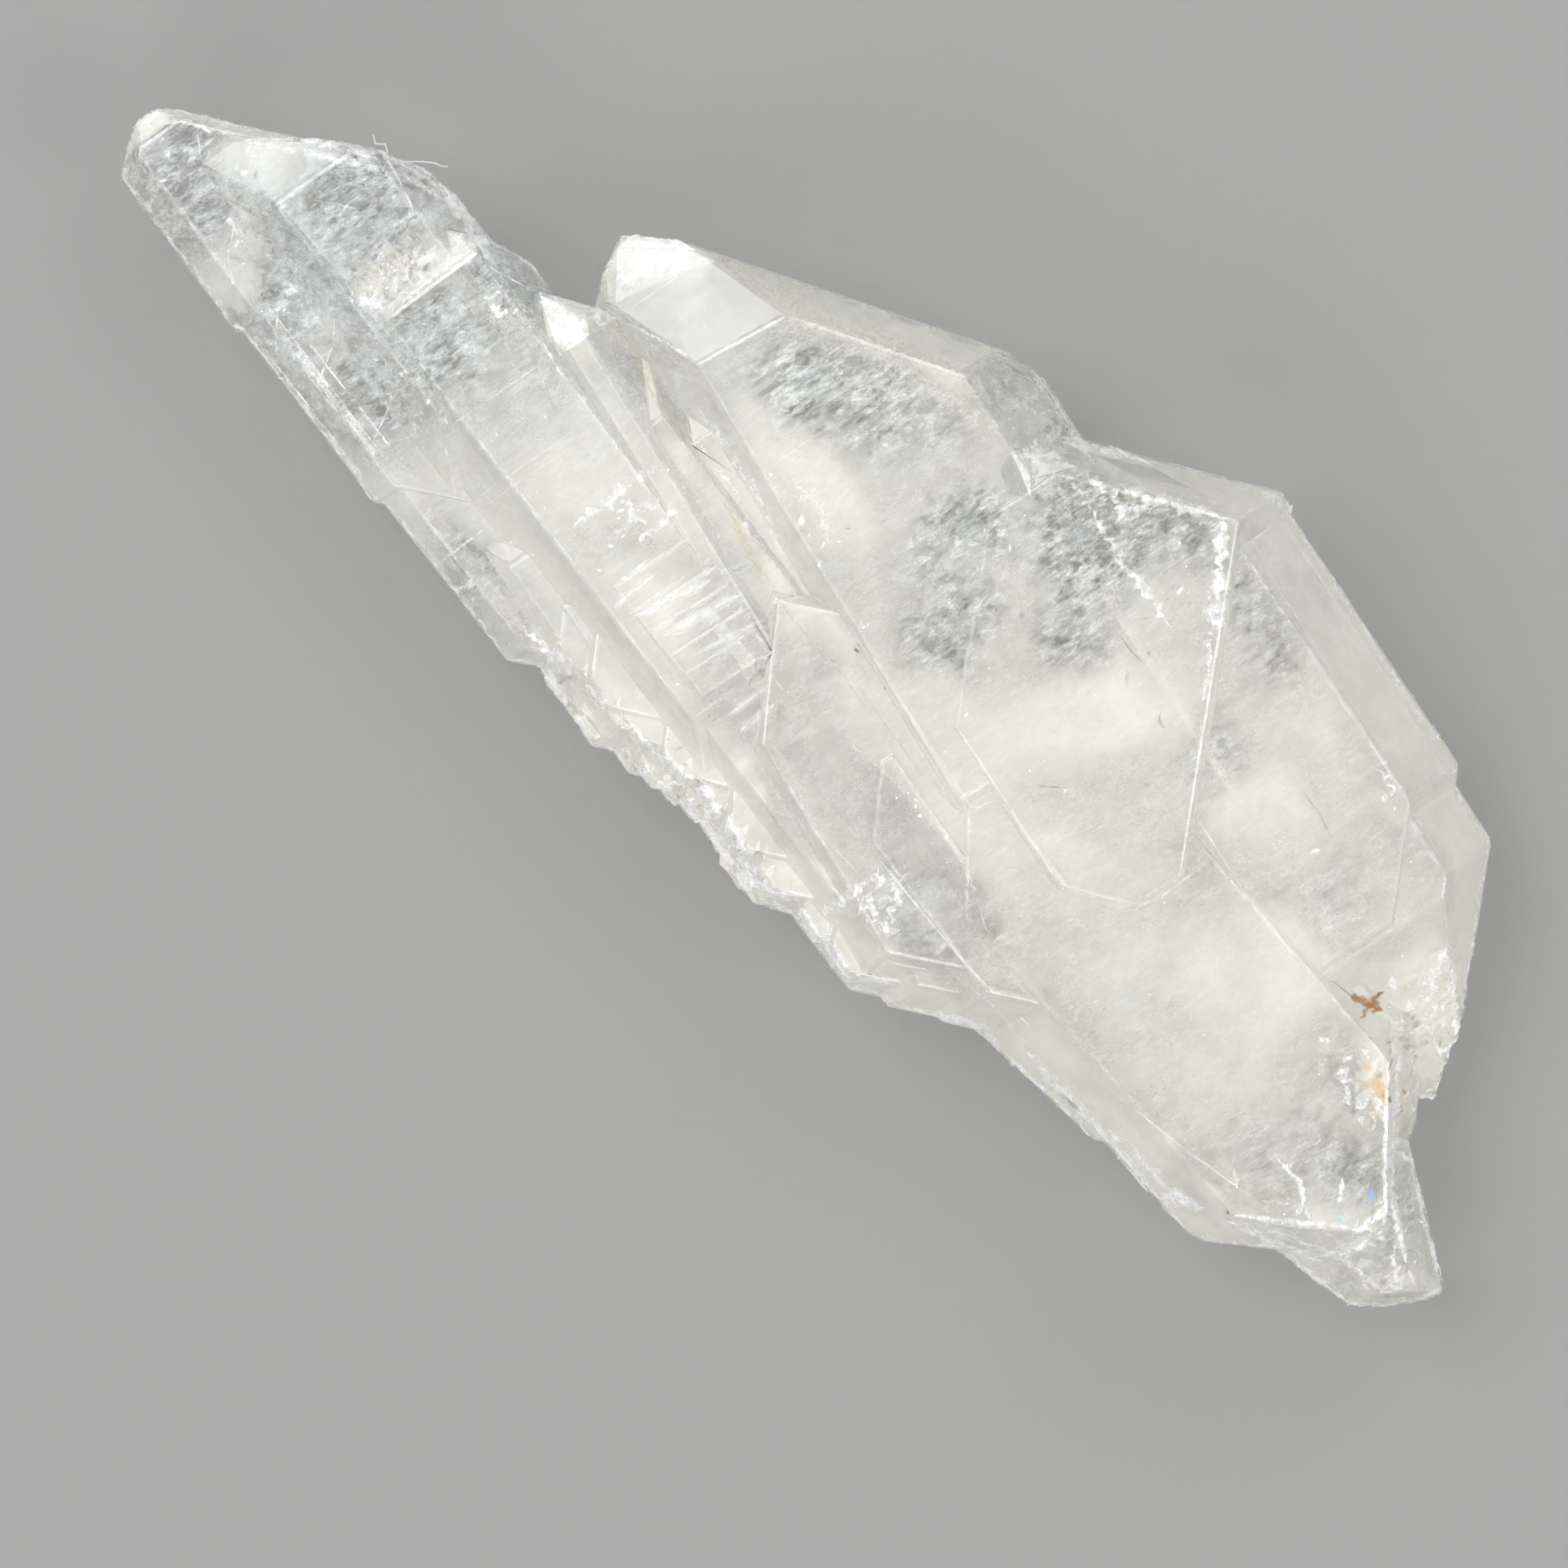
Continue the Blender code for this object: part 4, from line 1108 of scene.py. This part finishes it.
def stain_and_painted_light_mesh(front):
    """Painted highlights and painted shade on facets, growth lines with painted highlights on step edges,
    rust, dirt, spots of painted shade and thin films of colour.
    """
    marks = Marks(front)
    for tint, *corners in LIT_AND_SHADED_FACETS:
        marks.film(corners, tint)
    for line, width, density in GROWTH_AND_HIGHLIGHT_LINES:
        marks.strip(line, width, SOFT_WHITE, density, LINE_ROUGHNESS, rows=2, step=LINE_SPACING)
    for line, width, tint, density, rough in STAINED_LINES:
        marks.strip(line, width, tint, density, rough)
    for x, y, length, width, turn, tint, density in STAIN_AND_SHADE_SPOTS:
        marks.spot(x, y, length, width, turn, tint, density)
    return marks.finish("stains_and_painted_light")


# ---------------------------------------------------------------- lint


# Lint fibres caught on the rim, as points of the plan and their heights.
LINT = (
    (
        (-20.96, -4.96, 4.3),
        (-20.73, -5.0, 4.5),
        (-20.52, -4.81, 4.4),
        (-20.27, -4.87, 4.3),
        (-20.16, -5.05, 4.1),
    ),
    (
        (-20.2, -5.3, 3.9),
        (-20.11, -4.97, 4.1),
        (-19.61, -4.38, 4.4),
        (-19.2, -3.8, 4.3),
        (-18.98, -3.58, 4.6),
    ),
)
LINT_RADIUS = 0.018
LINT_SIDES = 6
LINT_STEPS = 8  # from one point of a fibre to the next
LINT_CURL = 0.03
LINT_WAVES = (2.1, 2.7, 1.3)  # how fast it curls along each axis


def fibre_line(path):
    """The fibre's centre line, eased from point to point, with a small curl."""
    corners = [Vector(corner) for corner in path]
    across, along, up = LINT_WAVES
    line = []
    for number in range(LINT_STEPS * (len(corners) - 1) + 1):
        place = number / LINT_STEPS
        which = min(int(place), len(corners) - 2)
        curl = Vector((math.sin(across * place), math.cos(along * place), math.sin(up * place)))
        line.append(corners[which].lerp(corners[which + 1], eased(place - which)) + curl * LINT_CURL)
    return line


def fibre_ring(shape, centre, ahead):
    """New vertices round a fibre's centre line."""
    side = ahead.cross(Vector((0, 0, 1))).normalized()
    over = side.cross(ahead)
    ring = []
    for corner in range(LINT_SIDES):
        angle = 2 * math.pi * corner / LINT_SIDES
        outward = side * math.cos(angle) + over * math.sin(angle)
        ring.append(shape.verts.new(centre + outward * LINT_RADIUS))
    return ring


def lint_mesh():
    """Thin curly fibres, closed at both ends."""
    shape = bmesh.new()
    for path in LINT:
        line = fibre_line(path)
        before = None
        for number, centre in enumerate(line):
            ahead = line[min(number + 1, len(line) - 1)] - line[max(number - 1, 0)]
            ring = fibre_ring(shape, centre, ahead.normalized())
            if before:
                for corner in range(LINT_SIDES):
                    following = (corner + 1) % LINT_SIDES
                    shape.faces.new((before[corner], before[following], ring[following], ring[corner]))
            else:
                shape.faces.new(ring[::-1])
            before = ring
        shape.faces.new(before)
    return mesh_of(shape, "lint_fibres")


# ---------------------------------------------------------------- node helpers


def feed(tree, socket, operand):
    """Links an output socket to an input, or sets the input to a plain value."""
    if isinstance(operand, bpy.types.NodeSocket):
        tree.links.new(operand, socket)
    else:
        socket.default_value = operand


def set_inputs(node, **values):
    """Sets unlinked inputs by their names, with an underscore for each space."""
    for name, value in values.items():
        node.inputs[name.replace("_", " ")].default_value = value


def put(tree, kind, **values):
    """A new node, with values for those of its inputs that stay unlinked."""
    node = tree.nodes.new(kind)
    set_inputs(node, **values)
    return node


def combine(tree, operation, first, second, clamp=False):
    """The output of a Math node. Each operand is a number or an output socket."""
    node = tree.nodes.new("ShaderNodeMath")
    node.operation = operation
    node.use_clamp = clamp
    feed(tree, node.inputs[0], first)
    feed(tree, node.inputs[1], second)
    return node.outputs[0]


def remap(tree, value, low, high, to_low=0.0, to_high=1.0):
    """The output of a Map Range node, clamped. The ends are numbers or output sockets."""
    node = tree.nodes.new("ShaderNodeMapRange")
    names = ("Value", "From Min", "From Max", "To Min", "To Max")
    for name, operand in zip(names, (value, low, high, to_low, to_high)):
        feed(tree, node.inputs[name], operand)
    return node.outputs[0]


def mix_colour(tree, factor, first, second):
    """The colour output of a Mix node between two RGB triples."""
    node = tree.nodes.new("ShaderNodeMix")
    node.data_type = "RGBA"
    tree.links.new(factor, node.inputs["Factor"])
    sockets = [socket for socket in node.inputs if socket.type == "RGBA"]
    for socket, colour in zip(sockets, (first, second)):
        socket.default_value = (*colour, 1)
    return next(socket for socket in node.outputs if socket.type == "RGBA")


def object_place(tree):
    """The output that gives each point's place on the object, in metres."""
    return tree.nodes.new("ShaderNodeTexCoord").outputs["Object"]


def stored(tree, name, output="Fac"):
    """The output that reads what is kept on the vertices under this name."""
    node = tree.nodes.new("ShaderNodeAttribute")
    node.attribute_name = name
    return node.outputs[output]


def noise_field(tree, scale, detail, roughness, stretch=(1, 1, 1), distortion=0.0):
    """A noise texture over the object, stretched along its axes. Its scale may be an output socket."""
    mapping = put(tree, "ShaderNodeMapping", Scale=stretch)
    field = put(tree, "ShaderNodeTexNoise", Detail=detail, Roughness=roughness, Distortion=distortion)
    feed(tree, field.inputs["Scale"], scale)
    tree.links.new(object_place(tree), mapping.inputs["Vector"])
    tree.links.new(mapping.outputs[0], field.inputs["Vector"])
    return field


def new_group(name, inputs, outputs):
    """A shader node group with these named float sockets, and its input and output nodes."""
    group = bpy.data.node_groups.new(name, "ShaderNodeTree")
    for socket in inputs:
        group.interface.new_socket(socket, in_out="INPUT", socket_type="NodeSocketFloat")
    for socket in outputs:
        group.interface.new_socket(socket, in_out="OUTPUT", socket_type="NodeSocketFloat")
    return group, group.nodes.new("NodeGroupInput"), group.nodes.new("NodeGroupOutput")


def place_group(tree, group, **operands):
    """A group placed in a material, with its own values or links."""
    node = tree.nodes.new("ShaderNodeGroup")
    node.node_tree = group
    for name, operand in operands.items():
        feed(tree, node.inputs[name.replace("_", " ")], operand)
    return node


# ---------------------------------------------------------------- shared patterns


THREAD_GAIN = 1.6
THREAD_OFFSET = 0.9
MOST_OPAQUE = 0.75
SOLID_POWER = 1.5  # keeps the quartz clear until it is fairly milky
SOLID_SHARE = 0.62


def wisp_pattern(group, rays_show):
    """Clouds, cotton, fine threads and fibres added up, with growth rays where they show."""
    clouds = noise_field(group, 420, 3, 0.6, distortion=0.5)
    cotton = noise_field(group, 1700, 6, 0.74, stretch=(1.3, 0.8, 1), distortion=0.35)
    threads = noise_field(group, 1300, 5, 0.6, stretch=(1.6, 0.8, 1), distortion=0.3)
    threads.noise_type = "RIDGED_MULTIFRACTAL"
    set_inputs(threads, Gain=THREAD_GAIN, Offset=THREAD_OFFSET)
    fibres = noise_field(group, 4000, 3, 0.7, stretch=(2.2, 0.6, 1), distortion=0.6)
    rays = noise_field(group, 600, 3, 0.65, stretch=(8.0, 0.5, 0.5))
    wisps = remap(group, cotton.outputs["Fac"], 0.42, 0.66, -0.25, 0.85)
    wisps = combine(group, "ADD", wisps, remap(group, threads.outputs["Fac"], 1.2, 2.8, 0.0, 0.6))
    wisps = combine(group, "ADD", wisps, remap(group, clouds.outputs["Fac"], 0.35, 0.65, -0.2, 0.2))
    wisps = combine(group, "ADD", wisps, remap(group, fibres.outputs["Fac"], 0.36, 0.64, -0.4, 0.4))
    ray_part = remap(group, rays.outputs["Fac"], 0.35, 0.65, -0.3, 0.3)
    return combine(group, "ADD", wisps, combine(group, "MULTIPLY", ray_part, rays_show))


def milky_wisps_group():
    """Wisps and growth rays of milky quartz, from how milky it is. Feeds the opacity and the colour."""
    group, given, result = new_group("milky_wisps", ("Milk", "Rays"), ("Opacity", "Whiteness"))
    milk_and_glow = given.outputs["Milk"]
    wisps = wisp_pattern(group, given.outputs["Rays"])
    wispy = combine(group, "MULTIPLY", wisps, remap(group, milk_and_glow, 0.0, 0.56, 0.72, 0.04))
    solid = remap(group, combine(group, "POWER", milk_and_glow, SOLID_POWER), 0.0, 1.0, 0.0, SOLID_SHARE)
    opacity = combine(group, "MINIMUM", combine(group, "ADD", wispy, solid), MOST_OPAQUE, True)
    group.links.new(opacity, result.inputs["Opacity"])
    along = group.nodes.new("ShaderNodeSeparateXYZ")
    group.links.new(object_place(group), along.inputs[0])
    coolness = remap(group, along.outputs["X"], -0.020, 0.006, 0.70, -0.1)
    white = combine(group, "SUBTRACT", combine(group, "ADD", wisps, 0.25), milk_and_glow)
    group.links.new(combine(group, "ADD", white, coolness, True), result.inputs["Whiteness"])
    return group


def broken_cover_group():
    """A cover broken up by noise, from Least to Most of it. Feeds the opacity of strips and bruises."""
    settings = ("Noise Scale", "Noise Low", "Noise High", "Least", "Most")
    group, given, result = new_group("broken_cover", ("Cover", *settings), ("Opacity",))
    scale, *ends = [given.outputs[name] for name in settings]
    field = noise_field(group, scale, 5, 0.7)
    broken = remap(group, field.outputs["Fac"], *ends)
    opacity = combine(group, "MULTIPLY", given.outputs["Cover"], broken, True)
    group.links.new(opacity, result.inputs["Opacity"])
    return group


# ---------------------------------------------------------------- materials


CLEAR = (0.98, 0.985, 0.985, 1)
EDGE_WHITE = (0.97, 0.97, 0.96, 1)
SHADOW_TINT = (0.64, 0.65, 0.65, 1)  # what the quartz leaves of the light of a lamp behind it
DEPTH_TINT = (0.935, 0.933, 0.922, 1)
DEPTH_DENSITY = 230.0  # per metre
CREAM = (0.925, 0.895, 0.825)
COOL_WHITE = (0.92, 0.94, 0.94)
LINT_WHITE = (0.88, 0.87, 0.85, 1)
PALE_TABLE = (0.355, 0.352, 0.346, 1)
DEEP_CLOUD_STRENGTH = 0.55


def new_material(name, **values):
    """A new material and its Principled shader, with values for the shader's unlinked inputs."""
    material = bpy.data.materials.new(name)
    material.use_nodes = True
    shader = material.node_tree.nodes["Principled BSDF"]
    set_inputs(shader, **values)
    return material, shader


def see_through(material, shader):
    """Lets lamps shine through a clear material onto what lies inside it and under it."""
    tree = material.node_tree
    output = tree.nodes["Material Output"]
    passing = put(tree, "ShaderNodeBsdfTransparent", Color=SHADOW_TINT)
    path = tree.nodes.new("ShaderNodeLightPath")
    choose = tree.nodes.new("ShaderNodeMixShader")
    tree.links.new(path.outputs["Is Shadow Ray"], choose.inputs["Fac"])
    tree.links.new(shader.outputs[0], choose.inputs[1])
    tree.links.new(passing.outputs[0], choose.inputs[2])
    tree.links.new(choose.outputs[0], output.inputs["Surface"])
    depth = put(tree, "ShaderNodeVolumeAbsorption", Color=DEPTH_TINT, Density=DEPTH_DENSITY)
    tree.links.new(depth.outputs[0], output.inputs["Volume"])


def clear_quartz():
    material, shader = new_material(
        "clear_quartz", Base_Color=CLEAR, Roughness=0.03, IOR=QUARTZ_IOR, Transmission_Weight=1.0
    )
    tree = material.node_tree
    striations = noise_field(tree, 800, 3, 0.6, stretch=(6, 0.4, 0.4))
    bump = put(tree, "ShaderNodeBump", Strength=0.04, Distance=0.00001)
    tree.links.new(striations.outputs["Fac"], bump.inputs["Height"])
    tree.links.new(bump.outputs["Normal"], shader.inputs["Normal"])
    see_through(material, shader)
    return material


# The crystals' worn edges: frosted quartz, and a white painted highlight for the glow of the rim.
def worn_quartz_and_highlight():
    material, shader = new_material(
        "worn_quartz_edge_and_highlight", Base_Color=EDGE_WHITE, Roughness=0.35, IOR=QUARTZ_IOR, Transmission_Weight=0.15
    )
    see_through(material, shader)
    return material


def milky_matter(name, wisps, strength):
    """White matter inside the quartz, see-through where it thins out. Strength 1 is the surface's."""
    material, shader = new_material(name, Roughness=0.9, Specular_IOR_Level=0.0)
    tree = material.node_tree
    pattern = place_group(tree, wisps, Milk=stored(tree, "milk_and_glow"), Rays=stored(tree, "rays"))
    opacity = combine(tree, "MULTIPLY", pattern.outputs["Opacity"], strength, True)
    colour = mix_colour(tree, pattern.outputs["Whiteness"], CREAM, COOL_WHITE)
    tree.links.new(opacity, shader.inputs["Alpha"])
    tree.links.new(colour, shader.inputs["Base Color"])
    return material


def marking(name, broken_cover, scale, least, most):
    """What strips, spots and veils are made of: their listed colour, as dense as they say, broken by noise.
    For some of them that colour is a painted highlight, for others painted shade.
    """
    material, shader = new_material(name, Roughness=0.6)
    tree = material.node_tree
    ends = {"Noise_Scale": scale, "Noise_Low": 0.35, "Noise_High": 0.6, "Least": least, "Most": most}
    cover = place_group(tree, broken_cover, Cover=stored(tree, "cover"), **ends)
    tree.links.new(cover.outputs["Opacity"], shader.inputs["Alpha"])
    tree.links.new(stored(tree, "tint", "Color"), shader.inputs["Base Color"])
    return material


def bruised_edge_and_highlight(broken_cover):
    """The skin's worn edges, white partly where the quartz has crushed and partly as a painted highlight for
    the edges' glow, and clear between.
    """
    material, shader = new_material("bruised_edge_and_highlight", Base_Color=EDGE_WHITE, Roughness=0.6)
    tree = material.node_tree
    ends = {"Noise_Scale": 1500, "Noise_Low": 0.32, "Noise_High": 0.62, "Least": 0.3, "Most": 0.95}
    cover = place_group(tree, broken_cover, Cover=1.0, **ends)
    tree.links.new(cover.outputs["Opacity"], shader.inputs["Alpha"])
    return material


def lint():
    return new_material("white_lint", Base_Color=LINT_WHITE, Roughness=0.9)[0]


def table_top():
    return new_material("pale_table", Base_Color=PALE_TABLE, Roughness=0.8, Specular_IOR_Level=0.2)[0]


# ---------------------------------------------------------------- studio


TABLE_SIZE = 4  # metres
TABLE_GAP = 0.05  # keeps the table's top clear of the crystal's back face
VIEW_CENTRE = (1.845, -5.20)  # the point of the table under the camera
VIEW_TURN = math.radians(57)
VIEW_WIDTH = 46.37
VIEW_DISTANCE = 600.0
FRONT_HEIGHT = 6.6
SENSOR = 36.0
ROOM_COLOUR = (0.93, 0.96, 1.0, 1)
ROOM_STRENGTH = 0.24

# Softboxes aimed at the cluster, as (name, azimuth from +X towards +Y, elevation, distance, width, height,
# power), in degrees, metres and watts.
SOFTBOXES = (
    ("high_softbox", 205, 60, 0.9, 0.6, 0.6, 3.82),
    ("low_window", 180, 14, 0.7, 0.22, 0.14, 0.25),
    ("side_softbox_right", 115, 42, 0.9, 0.6, 0.4, 1.94),
    ("side_softbox_left", 300, 42, 0.9, 0.6, 0.4, 2.62),
    ("end_softbox", 30, 42, 0.9, 0.6, 0.4, 2.62),
)


def camera():
    data = bpy.data.cameras.new("overhead_camera")
    data.sensor_width = SENSOR
    data.lens = SENSOR * VIEW_DISTANCE / VIEW_WIDTH
    eye = bpy.data.objects.new("overhead_camera", data)
    eye.location = Vector((*VIEW_CENTRE, FRONT_HEIGHT + VIEW_DISTANCE)) * MM
    eye.rotation_euler = (0, 0, VIEW_TURN)
    bpy.context.scene.collection.objects.link(eye)
    bpy.context.scene.camera = eye


def softbox(name, azimuth, elevation, distance, width, height, power):
    data = bpy.data.lights.new(name, "AREA")
    data.shape = "RECTANGLE"
    data.size, data.size_y = width, height
    data.energy = power
    lamp = bpy.data.objects.new(name, data)
    turn, rise = math.radians(azimuth), math.radians(elevation)
    towards = Vector((math.cos(rise) * math.cos(turn), math.cos(rise) * math.sin(turn), math.sin(rise)))
    lamp.location = towards * distance
    lamp.rotation_euler = towards.to_track_quat("Z", "Y").to_euler()
    bpy.context.scene.collection.objects.link(lamp)


def studio():
    bpy.ops.mesh.primitive_plane_add(size=TABLE_SIZE)
    table = bpy.context.object
    table.name = "table"
    table.location.z = -TABLE_GAP * MM
    table.data.materials.append(table_top())
    world = bpy.data.worlds.new("soft_room")
    bpy.context.scene.world = world
    world.use_nodes = True
    set_inputs(world.node_tree.nodes["Background"], Color=ROOM_COLOUR, Strength=ROOM_STRENGTH)
    for settings in SOFTBOXES:
        softbox(*settings)


def picture_settings():
    """Plain tones, and enough bounces for the layers inside the quartz."""
    scene = bpy.context.scene
    scene.view_settings.view_transform = "Standard"
    scene.cycles.transparent_max_bounces = 24
    scene.cycles.max_bounces = 6
    scene.cycles.diffuse_bounces = 2
    scene.cycles.use_light_tree = False
    scene.cycles.adaptive_threshold = 0.2


# ---------------------------------------------------------------- assembly


def main():
    picture_settings()
    camera()
    studio()
    broken_cover = broken_cover_group()
    wisps = milky_wisps_group()
    crystals = add_object("clear_crystals", crystal_mesh(), clear_quartz(), worn_quartz_and_highlight())
    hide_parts(NODE)
    skin_milk = milky_matter("milky_skin", wisps, 1.0)
    # The skin's worn edges are white partly as a painted highlight.
    add_object("milky_skin", skin_mesh(), skin_milk, bruised_edge_and_highlight(broken_cover), shadow=False)
    veil = milky_matter("milky_cloud", wisps, DEEP_CLOUD_STRENGTH)
    for count, depth in enumerate(CLOUD_DEPTHS, 1):
        name = f"milky_cloud_{count}"
        add_object(name, cloud_mesh(name, depth), veil, shadow=False)
    front = front_surface()
    # Fractures and flecks, with painted edge highlights and painted dark glints.
    fracture_and_light_matter = marking("fracture_and_painted_light", broken_cover, 2600, -0.1, 1.3)
    add_object("fractures_and_painted_light", fracture_and_highlight_mesh(front), fracture_and_light_matter, shadow=False)
    # Stains, with the facets' painted highlights and shade and spots of painted shade.
    stain_and_painted_light = marking("stain_and_painted_light", broken_cover, 2200, 0.5, 1.1)
    add_object("stains_and_painted_light", stain_and_painted_light_mesh(front), stain_and_painted_light, shadow=False)
    add_object("lint_fibres", lint_mesh(), lint())


main()
